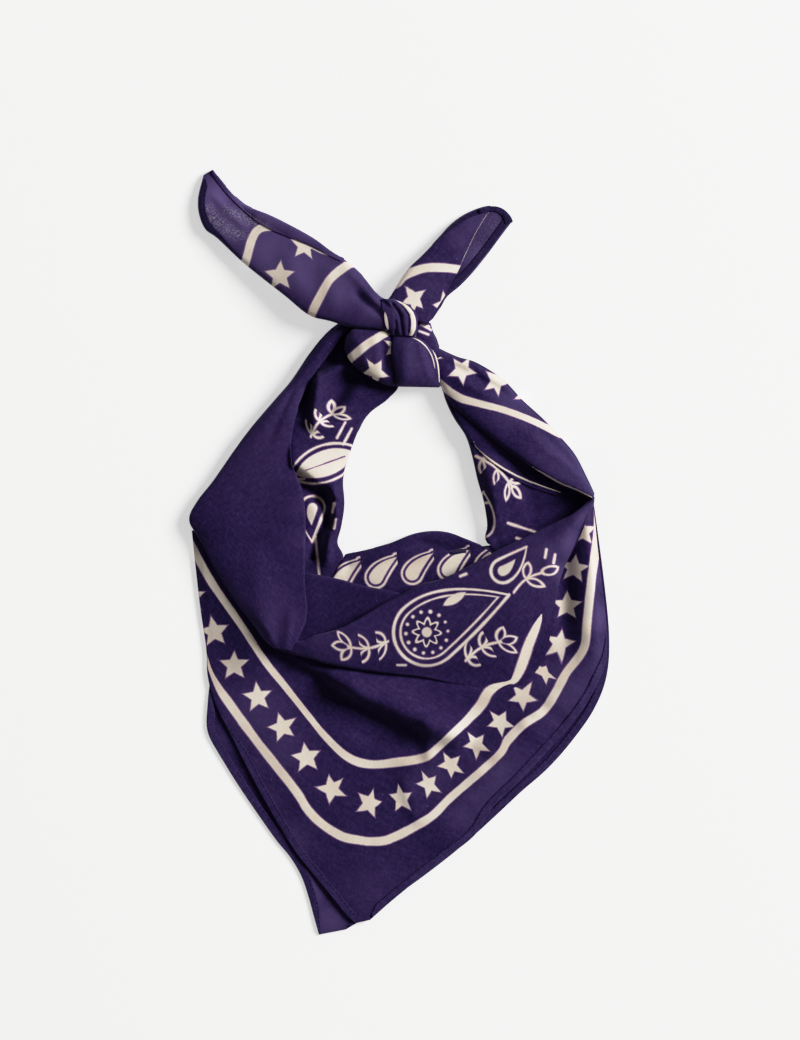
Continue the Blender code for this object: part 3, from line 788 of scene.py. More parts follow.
def sprig(x, y, length, pitch, pairs, half_length, half_width, filled):
    """A stem along x with pairs of slanted leaves and a bud at its end."""
    wave = (x * (math.pi / length)).sin() * 2.5
    y = y - wave
    stem = dash(x - length / 2, y, length / 2, LINE * 0.8)
    at_leaf = repeated(x - length / 2, pitch, pairs)
    leaf_x, leaf_y = turned(at_leaf, y.size(), 3.4, 4.6, 52)
    leaves = leaf(leaf_x, leaf_y, half_length, half_width)
    bud = leaf(x - length - half_length * 0.8, y, half_length, half_width * 1.2)
    shapes = leaves.least(bud)
    return stem.least(shapes if filled else outline(shapes, LINE * 0.7))


# %% Draw the paisleys
# Columns: radius of the round end, length, sideways bend.
BIG_PAISLEY, SMALL_PAISLEY = (21, 54, -17), (7.5, 20, 7)


def big_paisley(x, y):
    """A nested paisley with a flower and a ring of dots in its round end."""
    body = drop(x, y, *BIG_PAISLEY)
    head = flower(x, y, 8, 7.2, 1.6)
    return outline(body).least(outline(body, LINE * 0.6, 4.4), ring_of_dots(x, y, 14, 13.2, 0.9),
                               outline(head, LINE * 0.8), hypot(x, y) - 3.0,
                               leaf(*turned(x, y, -4.0, 27, 78), 8, 2.6),
                               dash(*turned(x, y, -11.5, 41, 68), 2.0, 0.7))


def small_paisley(x, y):
    body = drop(x, y, *SMALL_PAISLEY)
    return outline(body, LINE * 0.8).least(drop(x, y, 3.0, 10, 3))


print("paisleys, mm long:", BIG_PAISLEY[1], SMALL_PAISLEY[1])

# %% Set the patterns out in zones
def cowl_zone(x, y):
    drawn = big_paisley(*turned(x, y, 2, -3, -68))
    drawn = drawn.least(sprig(*turned(x, y, 62, 2, 14), 22, 10, 0, 5.4, 2.3, False),
                        sprig(*turned(x, y, -23, 0, 168), 25, 11, 1, 5.4, 2.3, False),
                        sprig(*turned(x, y, 19, -28, 8), 25, 11, 1, 5.4, 2.3, False),
                        small_paisley(*turned(x, y, 60, 17, -84)))
    for place_x, place_y, turn in ((89, 18, 60), (93, 13, 60), (-20, -17, -20)):
        drawn = drawn.least(dash(*turned(x, y, place_x, place_y, turn), 2.6, 0.7))
    return drawn


def left_wall_zone(x, y):
    at_x, at_y = turned(x, y, -1, -18, 20)
    broad = leaf(at_x, at_y, 20, 8.0)
    rib = dash(at_x, at_y, 13, 0.5)
    drawn = (rib * -1.0).most(broad).least(outline(broad, LINE * 0.7, -3.4))
    drawn = drawn.least(sprig(*turned(x, y, -10, -1, 46), 20, 9, 1, 4.4, 1.7, False),
                        dash(*turned(x, y, 13, -1, 62), 5.5, 0.7), dash(*turned(x, y, 9, 3, 62), 5.5, 0.7),
                        small_paisley(*turned(x, y, -9, -46, 160)),
                        dash(*turned(x, y, -6, -76, 96), 12, 0.7))
    for place_x, place_y, turn in ((4, -46, 80), (5, -56, 80), (-17, -28, 10)):
        drawn = drawn.least(dash(*turned(x, y, place_x, place_y, turn), 2.8, 0.7))
    return drawn


def right_wall_zone(x, y):
    drawn = sprig(*turned(x, y, -30, 6, 2), 30, 11, 1, 4.6, 1.6, False)
    drawn = drawn.least(small_paisley(*turned(x, y, 2, -24, 20)),
                        dash(*turned(x, y, 26, -6, 24), 14, 0.65))
    for place_x, place_y, turn in ((26, -14, 24), (-6, -12, 50), (44, 0, 40)):
        drawn = drawn.least(dash(*turned(x, y, place_x, place_y, turn), 2.6, 0.7))
    return drawn


def throat_zone(x, y):
    at = repeated(x, 23, 2)
    solid = drop(*turned(at, y, -3, -7, -32), 4.2, 17, -6)
    return solid.least(outline(solid, 0.5, -2.4))


def knot_zone(x, y):
    drawn = None
    for place_x, place_y, turn, length in ((0, 3, -32, 4), (1.5, 0.5, -28, 3.4), (0, -3, -20, 3)):
        line = dash(*turned(x, y, place_x, place_y, turn), length, 0.55)
        drawn = line if drawn is None else drawn.least(line)
    return drawn


ZONES = {"cowl": (0, cowl_zone), "left wall": (1, left_wall_zone), "right wall": (2, right_wall_zone),
         "throat": (3, throat_zone), "knot": (4, knot_zone)}
print("zones:", ", ".join(ZONES))


def build_art_group():
    group, (x, y) = new_group("printed_drawings", ["Across", "Up"], ["Distance"])
    drawn = None
    for zone, draw in ZONES.values():
        shapes = draw(x - zone * ZONE_PITCH, y)
        drawn = shapes if drawn is None else drawn.least(shapes)
    return close_group(group, drawn)


art_group = build_art_group()
print("drawing group:", len(art_group.nodes), "nodes")

# %% Make the cotton for each kind of stretch
# A real hem is the same cloth all round. Here the points' hems have a lighter cotton than the
# ends' hems, which stands for how much more light falls on them.
point_cotton = cotton("printed_cotton_points", NAVY, NAVY_WORN, 45)
band_cotton = cotton("printed_cotton_bands", NAVY, NAVY_WORN, 38)
drawn_cotton = cotton("printed_cotton_drawn", NAVY, NAVY_WORN, 38, drawn=True)
tail_cotton = cotton("printed_cotton_ends", NAVY, NAVY_WORN, 4)
hem_cotton = cotton("hem_cotton", (0.0115, 0.0070, 0.0310), (0.024, 0.016, 0.058), 0, print_on=False)
point_hem_cotton = cotton("hem_cotton_points", (0.0220, 0.0140, 0.0580), (0.044, 0.030, 0.106), 0,
                         print_on=False)
print("materials:", [m.name for m in bpy.data.materials])

# %% [markdown]
# ## The two points
# Folded corner to corner, the square shows two corners, one on the other and slightly out of
# line. Both are single layers that lie nearly flat. The under one is a plain sheet here. The
# upper one carries the border print and the pull of the knot, which draws it into a deep fold
# from the left and a pressed crease at the right. Each table row runs from edge a to edge b.

# %% Lay the under point
# Columns of every table: a_x, a_y, a_z, b_x, b_y, b_z, crown, sag, lift.
SHEET = 0.5
BACK_POINT = [
    (-114, -12, 0.8, 122, 31, 0.8, 0, 26, 0),
    (-117, -45, 0.9, 128, -14, 0.9, 0, 16, 0),
    (-119, -75, 1.4, 131.6, -52, 1.8, 0, 8, 0),
    (-121, -95, 1.6, 130, -78, 2.0, 0, 4, 0),
    (-121, -113, 1.4, 122, -99, 1.6, 0, 0, 0),
    (-112, -130, 1.1, 108, -119, 1.2, 0, 0, 0),
    (-101.5, -147, 1.1, 93, -136, 1.1, 0, 0, 0),
    (-90, -164, 1.1, 76, -151, 1.1, 0, 0, 0),
    (-78, -181, 1.1, 60, -166, 1.1, 0, 0, 0),
    (-69, -192, 1.1, 40, -184, 1.1, 0, 0, 0),
    (-62, -204, 1.1, 20, -200, 1.1, 0, 0, 0),
    (-57.5, -217, 1.1, -2, -216, 1.1, 0, 0, 0),
    (-54, -230, 1.3, -22, -230, 1.1, 0, 0, 0),
    (-51, -240.7, 1.6, -34, -237.5, 1.1, 0, 0, 0),
]
# Columns of every fold table: from_x, from_y, to_x, to_y, width left, width right, rise, shape.
BACK_FOLDS = [
    (-108, -112, -62, -190, 7, 5, 1.4, SOFT),
    (-60, -196, -50, -236, 5, 4, 0.8, SOFT),
]
back_point = Stretch("cloth_back_point", BACK_POINT, pitch=2.6, wall=SHEET, folds=BACK_FOLDS)
back_point.make(point_cotton, "printed_cotton")
# The pale places, here and on every stretch below, are painted light.
add_print(back_point, painted_light=[(-43, -232, 13, 0.44), (-57, -212, 14, 0.46), (-68, -190, 16, 0.42),
                            (-110, -118, 12, 0.15)])

# %% Lay hems along a point's edges
HEM_WIDTH = 4.6
HEM_CLOTH = 0.45
HEM_CROWN = 0.35
HEM_RIPPLES = ((6, 0.22), (2.6, 0.12))


def hem_rows(panel, side, first, last, count, full_width, taper):
    """Rows of a narrow hem along a panel's edge, between two shares of its length."""
    columns = panel.x.shape[1]
    edge = 0 if side == "a" else columns - 1
    rows = []
    for number, share in enumerate(np.linspace(first, last, count)):
        width = full_width * min(1.0, (number + 0.4) / max(taper, 1), (count - number) / 3)
        at = share * (panel.x.shape[0] - 1)
        i = min(int(at), panel.x.shape[0] - 2)
        point = [grid[i, edge] * (1 - at + i) + grid[i + 1, edge] * (at - i)
                 for grid in (panel.x, panel.y, panel.top)]
        run = np.array([panel.x[i + 1, edge] - panel.x[i, edge], panel.y[i + 1, edge] - panel.y[i, edge]])
        run /= np.linalg.norm(run)
        inward = np.array([-run[1], run[0]])
        middle = np.array([panel.x[i, columns // 2] - point[0], panel.y[i, columns // 2] - point[1]])
        if inward @ middle < 0:
            inward = -inward
        outer, inside = np.array(point[:2]) + 0.1 * inward, np.array(point[:2]) + width * inward
        ends = (outer, inside) if side == "a" else (inside, outer)
        rows.append((*ends[0], point[2] + 0.3, *ends[1], point[2] + 0.3, HEM_CROWN, 0, 0))
    return rows


def hem_from(name, rows, material=hem_cotton):
    hem = Stretch(name, rows, pitch=1.4, wall=HEM_CLOTH, ripples=HEM_RIPPLES, edge_fade=0.1)
    return hem.make(material, "hem_cotton")


def lay_hem(name, panel, side, first, last, count=16, width=HEM_WIDTH, taper=0, material=hem_cotton):
    return hem_from(name, hem_rows(panel, side, first, last, count, width, taper), material)


back_hem_left = lay_hem("hem_back_left", back_point, "a", 0.20, 0.985, material=point_hem_cotton)
back_hem_right = lay_hem("hem_back_right", back_point, "b", 0.14, 0.985, material=point_hem_cotton)

# %% Lay the upper point
FRONT_POINT = [
    (-131, 14, 3.0, 121.5, 30, 7.0, 1, 30, 0),
    (-128.5, -10, 2.8, 125, -4, 6.0, 1, 14, 0),
    (-125.5, -36, 2.6, 128, -28, 5.0, 1, 8, 0),
    (-122, -60, 2.6, 130, -52, 4.6, 1, 4, 0),
    (-121, -78, 2.6, 129, -70, 4.6, 1, 0, 0),
    (-116, -96, 3.0, 121, -89, 4.0, 1, 0, 0),
    (-107, -114, 2.8, 108, -108, 3.2, 1, 0, 0),
    (-98, -132, 2.8, 92, -126, 2.8, 1, 0, 0),
    (-87, -153, 2.8, 76, -143, 2.8, 1, 0, 0),
    (-76, -172, 2.8, 58, -161, 2.8, 1, 0, 0),
    (-65.5, -189, 2.8, 47, -178, 2.8, 1, 0, 0),
    (-53, -204.5, 2.8, 28, -193, 2.8, 0.6, 0, 0),
    (-42, -218, 2.8, 10, -207, 2.8, 0.4, 0, 0),
    (-33.5, -228.5, 2.8, -6, -220, 2.8, 0.2, 0, 0),
    (-28, -233.5, 2.8, -19, -231.5, 2.8, 0, 0, 0),
]
FRONT_FOLDS = [
    (-76, -60, -16, -94, 9, 5, 4.5, SOFT),
    (-50, -76, 46, -121, 14, 9, 11.0, SOFT),
    (16, -100, 19, -136, 9, 5, 3.0, SOFT),
    (-90, -58, 12, -128, 8, 24, -3.5, SOFT),
    (-52, -112, 26, -140, 12, 8, 1.8, SOFT),
    (0, -138, 12, -172, 6, 5, 1.6, SOFT),
    (-20, -78, 74, -92, 8, 8, 1.4, SOFT),
    (52, -66, 134, -44, 8, 8, 2.4, SOFT),
    (44, -84, 112, -62, 4, 3, -2.2, CREASE),
    (60, -96, 134, -70, 8, 7, 1.8, SOFT),
    (119, 66, 120.5, -80, 8, 12, 6.0, SOFT),
    (103, 40, 104, -64, 6, 7, -3.0, SOFT),
    (124, -70, 40, -146, 14, 10, 3.0, SOFT),
    (-96, -96, -50, -176, 14, 14, 1.0, SOFT),
    (-112, 20, -84, -84, 26, 22, 6.5, SOFT),
    (36, -120, 62, -136, 5, 5, -1.2, SOFT),
    (84, -92, 106, -110, 5, 5, -1.2, SOFT),
    (74, -104, 92, -120, 5, 5, 1.0, SOFT),
    (10, -160, 40, -190, 12, 9, 1.0, SOFT),
]
front_point = Stretch("cloth_front_point", FRONT_POINT, wall=SHEET, folds=FRONT_FOLDS)
front_point.make(point_cotton, "printed_cotton")
front_hem_left = lay_hem("hem_front_left", front_point, "a", 0.38, 0.99, 44, HEM_WIDTH, 8,
                         material=point_hem_cotton)
front_hem_right = lay_hem("hem_front_right", front_point, "b", 0.22, 0.99, 50, HEM_WIDTH, 6,
                          material=point_hem_cotton)

# %% Lay the border print on the upper point
W = LINE_HALF_WIDTH
OUTER_LINE = [
    (-124.5, -55, 0.3), (-121.8, -66, 0.7), (-118.9, -75.5, 1.1), (-113.8, -85.8, 2.1), (-108.5, -93.6, W),
    (-88.5, -121, W), (-66.5, -149, W), (-58, -162, W), (-49, -171, W), (-37, -178.5, W),
    (-26, -181, W), (-18, -182, W), (-8, -181, W), (5, -175, W),
    (20, -166, 2.5), (32.3, -154, 2.3), (52, -137, 2.4), (63.5, -126, 2.2), (68, -118, W), (78, -108, W),
    (90, -100, W), (98, -88, W), (104.5, -76, 2.5), (113, -65, W), (116.6, -57, W), (117.4, -46, W),
    (118.8, -32, W), (120.9, -14, W), (122.8, 0, W), (124.4, 12, W), (125, 24, W), (125, 42, W),
]
INNER_LINE = [
    (-143, 25, W), (-131.8, 5, 2.4), (-117.8, -20, 2.3), (-100, -45.5, 2.1), (-83.8, -70, 2.1),
    (-71, -86, 2.0), (-56, -105, 1.8), (-46, -117, 2.1), (-35.5, -127, 2.3), (-26, -132, W),
    (-15, -133.5, W), (-1, -132, W),
    (12, -130, 2.6), (19, -127, 2.4), (30, -117, 2.3), (43, -105, W), (51, -96, 3.1), (56, -87.5, 3.0),
    (62, -84, 1.7), (68, -82, 0.9), (72, -80.5, 2.0), (76, -73, 3.0), (80, -61, 3.1), (84, -51, 2.7),
    (87, -44, 1.7), (89.5, -38, 0.4),
]
# Columns: x, y, how far along the row. A shorter step on the cloth than in the row squashes a star.
STAR_ROW = [
    (-144, -3, -25), (-132, -28, 0), (-117, -50, 25), (-104.5, -71, 50), (-89.5, -91, 75),
    (-74, -110, 100), (-59, -129, 125), (-43, -149, 150), (-19, -158, 175), (0.6, -155, 200),
    (18, -146, 225), (32, -134, 250), (48, -121, 275), (63, -107, 300), (77, -91, 325),
    (84, -81.5, 335.5), (90.5, -75.4, 350), (94.5, -70, 364), (100.5, -57.3, 375), (105, -33.5, 400),
    (109.5, -10, 425), (114.5, 13, 450), (118, 36, 475),
]
add_print(front_point, outer=[OUTER_LINE], inner=[INNER_LINE], stars=STAR_ROW,
          painted_light=[(129, -40, 10, 0.42), (130, -62, 9, 0.34), (126, -14, 8, 0.3), (-90, -100, 22, 0.26),
                (-76, -124, 17, 0.24), (108, -88, 24, 0.28), (62, -148, 24, 0.28), (21, -143, 13, 0.2),
                (-20, -214, 24, 0.12), (50, -152, 12, 0.3), (62, -138, 12, 0.3), (40, -164, 10, 0.24),
                (-84, -158, 12, 0.22), (-70, -182, 12, 0.24)])

# %% [markdown]
# ## Inside the loop
# The far wall of the loop shows its inner face: a steep, shaded band round the opening where
# the neck goes. It hangs from the knot, turns under at the throat, and folds into a pocket at
# the right. Three stretches make it, each lower at the opening than at its hidden edge.

# %% Lay the left wall of the loop
INNER_LEFT = [
    (-28, 149, 2, -4, 136, 2, 0.5, 0, 0),
    (-41, 142, 2, -6, 126, 2, 0.5, 0, 0),
    (-49, 131, 2, -1, 107.5, 3, 2, 0, 0),
    (-57, 117, 3, -8.5, 97.2, 3.5, 4, 0, 0),
    (-65, 102, 5, -20, 88.4, 4, 4, 0, 0),
    (-71, 82, 8, -26, 79, 5, 4, 0, 0),
    (-73, 62, 9, -32.5, 61, 6, 3, 0, 0),
    (-71, 46, 8, -36.5, 46, 9, 3, 0, 0),
    (-68, 30, 7, -36, 31, 11, 3, 0, 0),
    (-66, 14, 7, -38, 17, 11, 3, 0, 0),
    (-65, 0, 7, -40.5, 6, 10, 3, 0, 0),
    (-63, -14, 5, -37, -2.0, 8, 2, 0, 0),
    (-60, -27, 3, -36, -12, 4, 1, 0, 0),
]
INNER_LEFT_FOLDS = [
    (-25, 124, -58, 106, 4, 3, 7.5, SOFT),
    (-52, 114, -55, 74, 6, 3, 7.0, SOFT),
    (-54, 122, -66, 85, 4, 5, -5.0, SOFT),
    (-34, 126, -14, 104, 5, 7, -3.0, SOFT),
    (-26, 117, -50, 81, 6, 6, -6.0, SOFT),
    (-60, 90, -34, 72, 5, 5, 1.2, SOFT),
    (-78, 64, -33, 30, 14, 1.4, 5.0, SOFT),
    (-68, 52, -47, 30, 4, 5, -6.0, SOFT),
    (-49, 44, -45, 12, 5, 4, -9.0, SOFT),
    (-49, 20, -58, -24, 4, 5, -9.0, SOFT),
    (-41, 40, -39, 12, 3, 4, 3.0, SOFT),
    (-39, 22, -47, -10, 3, 4, 3.0, SOFT),
]
inner_left = Stretch("cloth_inner_left", INNER_LEFT, pitch=1.6, soft_a=0.5, soft_b=1.0,
                     folds=INNER_LEFT_FOLDS)
inner_left.make(drawn_cotton, "printed_cotton")
add_print(inner_left, art=(-46, 74, 0, ZONES["left wall"][0]))

# %% Lay the throat
INNER_THROAT = [
    (-35, -2.2, 4, -46, -22, 4, 1, 0, 0),
    (-21, 0.6, 7, -24, -29, 4, 1.5, 0, 0),
    (-6, 5, 8.5, -2, -34, 4, 1.5, 0, 0),
    (8, 11, 9.5, 18, -29, 4, 1.5, 0, 0),
    (20, 13, 9.5, 34, -22, 4, 2, 0, 0),
    (31, 12, 9.5, 48, -14, 4, 2, 0, 0),
    (42, 8, 9, 58, -9, 4, 2, 0, 0),
    (51, 4.5, 6, 63, -5, 3.5, 1, 0, 0),
]
THROAT_FOLDS = [
    (-40, -6, 10, 2, 3, 4, 1.6, SOFT),
    (6, 8, 54, -4, 4, 5, -1.8, SOFT),
    (-4, -24, 62, -2, 13, 8, -5.0, SOFT),
]
inner_throat = Stretch("cloth_inner_throat", INNER_THROAT, pitch=1.6, soft_a=0.6, soft_b=1.0,
                       folds=THROAT_FOLDS)
inner_throat.make(drawn_cotton, "printed_cotton")
add_print(inner_throat, art=(10, -6, 6, ZONES["throat"][0]))

# %% Lay the right wall
INNER_RIGHT = [
    (25, 108, 7, 31, 104, 6, 2, 0, 0),
    (30, 94, 8, 40, 93, 6, 2, 0, 0),
    (35, 84, 9, 52, 84, 5, 3, 0, 0),
    (42, 73.5, 9, 65, 74, 4, 3, 0, 0),
    (46, 62, 9, 78, 65, 3, 3, 0, 0),
    (50, 46, 9, 90, 57, 3, 4, 0, 0),
    (54, 32, 9, 100, 50, 3, 5, 0, 0),
    (56, 18, 8, 108, 45, 3, 4, 0, 0),
    (55, 8, 6, 113, 42, 2, 2, 0, 0),
    (66, -2, 4, 116, 39, 1.5, 0, 0, 0),
    (88, 8, 2, 118.5, 36.5, 1.5, 0, 0, 0),
    (106, 19, 1.5, 120.5, 35, 1.5, 0, 0, 0),
    (117, 26, 1.5, 122, 33.6, 1.5, 0, 0, 0),
]
INNER_RIGHT_FOLDS = [
    (56, 66, 62, 6, 8, 10, 2.6, SOFT),
    (74, 60, 86, 18, 7, 7, -2.5, SOFT),
    (56, -6, 110, 27, 12, 6, -8.0, SOFT),
]
inner_right = Stretch("cloth_inner_right", INNER_RIGHT, pitch=1.6, soft_a=0.6, soft_b=1.0,
                      folds=INNER_RIGHT_FOLDS)
inner_right.make(drawn_cotton, "printed_cotton")
add_print(inner_right, art=(66, 36, -42, ZONES["right wall"][0]))

# %% Lay the flap over the right wall
INNER_FLAP = [
    (27, 104, 9, 31, 103, 9, 0.5, 0, 4),
    (32.6, 93.5, 10.5, 40, 93, 11, 1, 0, 5),
    (37, 83, 11, 52, 84, 11, 1, 0, 5),
    (43, 72, 11, 65, 74, 10, 1.5, 0, 5),
    (53, 61, 9.5, 78, 65, 9, 1.5, 0, 4),
    (65, 51, 7, 90, 57, 7, 1.5, 0, 2),
    (80, 42, 4, 100, 50, 5, 1, 0, 1),
    (98, 36, 3, 112, 43, 3, 0.5, 0, 1),
]
inner_flap = Stretch("cloth_inner_flap", INNER_FLAP, pitch=1.6, soft_a=0.5, soft_b=1.0)
inner_flap.make(band_cotton, "printed_cotton")
FLAP_LINE = [(46, 71, 0.1), (49, 64.5, 0.5), (60, 56, 0.55), (74, 48, 0.5), (90, 41.5, 0.45), (104, 37, 0.2)]
add_print(inner_flap, inner=[FLAP_LINE])

# %% [markdown]
# ## The neck
# The loop itself is the cloth folded over several times. At the left the outer face is broad
# and smooth, a plateau that drops at a rounded fold. At the right the same folds are rolled
# into a narrower band, which shows the border print. Both rest on everything so far.

# %% Lay the right side of the neck
NECK_RIGHT = [
    (22, 129, 8, 20, 112, 9, 3, 0, 0),
    (30, 124.9, 8, 25.5, 105, 9, 5, 0, 0),
    (37, 121.9, 8, 30, 97, 10, 5, 0, 0),
    (48, 118.3, 8, 37, 89, 12, 5, 0, 0),
    (64.2, 107.8, 8, 49, 79.5, 14, 5, 0, 0),
    (76.6, 94.8, 8, 62, 69, 15, 5, 0, 0),
    (88.8, 83.6, 8, 75, 59.5, 16, 5, 0, 0),
    (100, 72, 8, 88, 50.5, 16, 5, 0, 0),
    (109.6, 60.6, 8, 100, 43.5, 15, 5, 0, 0),
    (116.6, 47.4, 8, 111, 39, 14, 4, 0, 0),
    (122.2, 36, 9, 121.6, 33.6, 12, 2, 0, 0),
]
NECK_RIGHT_FOLDS = [
    (26, 121, 72, 98, 3, 3, -2.4, SOFT),
    (30, 112, 62, 94, 3, 3, 1.6, SOFT),
    (44, 119, 54, 104, 2, 2, -1.6, SOFT),
    (72, 102, 84, 92, 2.5, 2.5, -1.4, SOFT),
    (86, 80, 117, 46, 4, 4, -1.6, SOFT),
    (96, 64, 119, 42, 3, 3, 1.8, SOFT),
    (70, 84, 102, 56, 4, 4, 1.2, SOFT),
]
neck_right = Stretch("cloth_neck_right", NECK_RIGHT, pitch=1.6, folds=NECK_RIGHT_FOLDS, crest=0.55)
neck_right.make(band_cotton, "printed_cotton")
NECK_LINE = [(18, 113, 2.3), (27.8, 103.8, 2.3), (38, 97, 2.3), (50.5, 93.4, 2.1), (63.5, 90, 2.0),
             (75.8, 85.8, 2.0), (88, 80.6, 1.9), (98.5, 75, 1.8), (107, 71, 1.7)]
NECK_STARS = [(18, 124, -25), (39, 114.5, 0), (61, 107.5, 25), (80, 100, 50)]
NECK_EDGE = [(82, 54.6, 0.1), (90, 49.6, 0.4), (101, 43.4, 0.45), (111, 39.2, 0.45), (121, 34.4, 0.3)]
add_print(neck_right, outer=[NECK_EDGE], inner=[NECK_LINE], stars=NECK_STARS,
          painted_light=[(104, 58, 22, 0.2), (72, 92, 14, 0.2)])

# %% [markdown]
# ## The cowl
# At the throat the upper layer hangs over in a deep fold, like a cowl neck. Its upper edge is
# a rolled fold. Its lower right side isn't an edge at all: it runs on into the upper point,
# so its shell lands there without a step, and the print carries on across.

# %% Lay the tuck
COWL_TUCK = [
    (0, -26.5, 15, 1.5, -30, 15, 0, 0, 0),
    (-13, -24, 13.5, -15, -40, 12, 0.5, 0, 0),
    (-27, -21, 11.5, -33, -49, 9, 0.5, 0, 0),
    (-43, -16.5, 9.5, -50, -55, 7, 0.5, 0, 0),
    (-58, -13.5, 8, -62, -58, 6, 0.5, 0, 0),
    (-68, -12, 6, -70, -56, 5, 0, 0, 0),
]
cowl_tuck = Stretch("cloth_cowl_tuck", COWL_TUCK, soft_b=1.0)
cowl_tuck.make(band_cotton, "printed_cotton")
add_print(cowl_tuck)

# %% Lay the cowl
COWL_FOLD = [
    (-80, -54, 12, -79.5, -59.0, 11, 0, 0, 0),
    (-71, -55, 15, -70, -62.2, 14.5, 0.5, 0, 0),
    (-62, -56.8, 17.5, -57.6, -65.6, 15, 1, 0, 0),
    (-53, -53, 18.5, -46, -69.2, 14.5, 1.5, 0, 0),
    (-37, -48, 18.5, -33, -72.0, 13.5, 2, 0, 0),
    (-19, -38, 18.5, -20, -74, 12, 2.5, 0, 0),
    (-1, -28.5, 18.5, -4, -76, 10, 3, 0, 0),
    (13, -21, 18.5, 14, -78, 8.5, 4, 0, 0),
    (27, -17, 18.5, 33, -82, 6.5, 4, 0, 0),
    (46, -7.5, 18.5, 54, -85, 5, 5, 0, 0),
    (63, 1, 18, 75, -84, 4, 6, 0, 0),
    (82, 10, 17, 91, -66, 3, 6, 0, 0),
    (96, 17, 16, 97, -36, 4, 6, 0, 0),
    (107, 23, 15, 102, -13, 6, 6, 0, 0),
    (115, 29, 14, 112.7, 9, 7, 4, 0, 0),
    (122.4, 35, 12, 122.2, 31.5, 10, 1, 0, 0),
]
COWL_FOLDS = [
    (-60, -60, 50, -34, 7, 9, 1.6, SOFT),
    (-20, -70, 76, -66, 6, 8, 1.4, SOFT),
    (60, -18, 114, 24, 6, 8, 1.6, SOFT),
    (88, 2, 104, -24, 5, 5, 1.5, SOFT),
]
cowl_fold = Stretch("cloth_cowl_fold", COWL_FOLD, crest=0.4, folds=COWL_FOLDS, edge_fade=8, soft_a=0.9,
                    soft_b=[0.5, 0.5, 0.5, 0.5, 0.5, 0.6, 0.8, 1.2, 1.6, 2.0, 2.0, 2.0, 1.4, 0.6, 0.5, 0.5],
                    merge_b=[0, 0, 0, 0, 0, 0, 0, 0.6, 1, 1, 1, 1, 0.8, 0, 0, 0])
cowl_fold.make(drawn_cotton, "printed_cotton")
add_print(cowl_fold, inner=[INNER_LINE], art=(14, -48, 20, ZONES["cowl"][0]),
          painted_light=[(107, 6, 9, 0.5), (100, -12, 8, 0.38), (114, 22, 7, 0.3), (92, 0, 13, 0.24),
                (62, -18, 24, 0.08), (-50, -60, 18, 0.13), (10, -60, 24, 0.07)])

# %% Lay the left side of the neck
NECK_LEFT = [
    (-35, 146, 10, -33, 142, 11, 1, 0, 0),
    (-45.5, 137, 10, -41.0, 131.5, 12, 1.5, 0, 0),
    (-55.5, 125, 10, -48.5, 121.5, 12, 2, 0, 0),
    (-67.5, 108.5, 10, -57.5, 108.5, 12, 2, 0, 0),
    (-76.5, 98, 10, -62.8, 96.5, 12.5, 2, 0, 0),
    (-86, 86.5, 10, -66.6, 84, 13, 2.5, 0, 0),
    (-95, 75, 10, -68.6, 71, 13, 2.5, 0, 0),
    (-106, 60, 9.5, -67.5, 54, 13.5, 2.5, 0, 0),
    (-117, 45, 9, -62.5, 38, 14, 2.5, 0, 0),
    (-127, 32, 8.5, -60.4, 22, 14, 2.5, 0, 0),
    (-131.6, 20, 8.5, -60.4, 6, 14, 2.5, 0, 0),
    (-124.5, 7, 9, -60.4, -8, 14, 2.5, 0, 0),
    (-118, -7, 9.5, -60.2, -20, 14.5, 2.5, 0, 0),
    (-111, -19, 10.5, -59, -33, 15.5, 2.5, 0, 0),
    (-102, -32, 12.5, -60.4, -44, 17, 2.5, 0, 0),
    (-91.4, -45.3, 14.5, -64.5, -52.5, 18, 2, 0, 0),
    (-84.6, -54.6, 16, -67, -58, 18, 1.5, 0, 0),
    (-78.5, -60.2, 16, -69, -61.6, 17.5, 1, 0, 0),
]
NECK_LEFT_FOLDS = [
    (-42, 140, -78, 94, 4, 4, 1.0, SOFT),
    (-64, 110, -84, 66, 3, 4, -1.0, SOFT),
    (-92, 8, -82, -64, 13, 9, 2.0, SOFT),
    (-69, -34, -70.5, -66, 4, 3, 1.2, SOFT),
    (-78, -38, -77, -66, 4, 4, -1.0, SOFT),
    (-120, 30, -90, -30, 14, 14, 0.8, SOFT),
]
neck_left = Stretch("cloth_neck_left", NECK_LEFT, folds=NECK_LEFT_FOLDS, crest=[0.5, 0.3, 0.3, 0.3],
                    edge_fade=7, soft_a=[0.7, 0.75, 0.75, 0.75, 0.8],
                    soft_b=[0.7, 0.8, 0.9, 1.0, 1.0])
neck_left.make(band_cotton, "printed_cotton")
add_print(neck_left, painted_light=[(-94, 66, 34, 0.15), (-70, 96, 16, 0.16), (-80, -42, 20, 0.14),
                           (-106, -30, 9, 0.14), (-64, 30, 9, 0.16), (-64, 8, 9, 0.16)])

# %% [markdown]
# ## The knot and its ends
# The two ends cross behind, and one wraps the other: a short back stretch, two loops below, a
# tight band over all, and two free ends. The ends are the square's other corners, so they are
# hemmed, and the border print turns its corner on them.

# %% Lay the stretch behind the knot
KNOT_BACK = [
    (5, 149, 13, 18.5, 144.5, 11, 3, 0, 4),
    (6, 142, 14, 19.6, 139.7, 11, 4, 0, 2),
    (8, 135, 14, 22.2, 134.6, 11, 4, 0, 0),
    (13, 127, 13, 24.3, 128.5, 10, 3, 0, 0),
    (17, 119, 12, 26.5, 123.5, 10, 2, 0, 0),
]
knot_back = Stretch("cloth_knot_back", KNOT_BACK, pitch=1.1)
knot_back.make(drawn_cotton, "printed_cotton")
add_print(knot_back, art=(15, 141, 0, ZONES["knot"][0]))

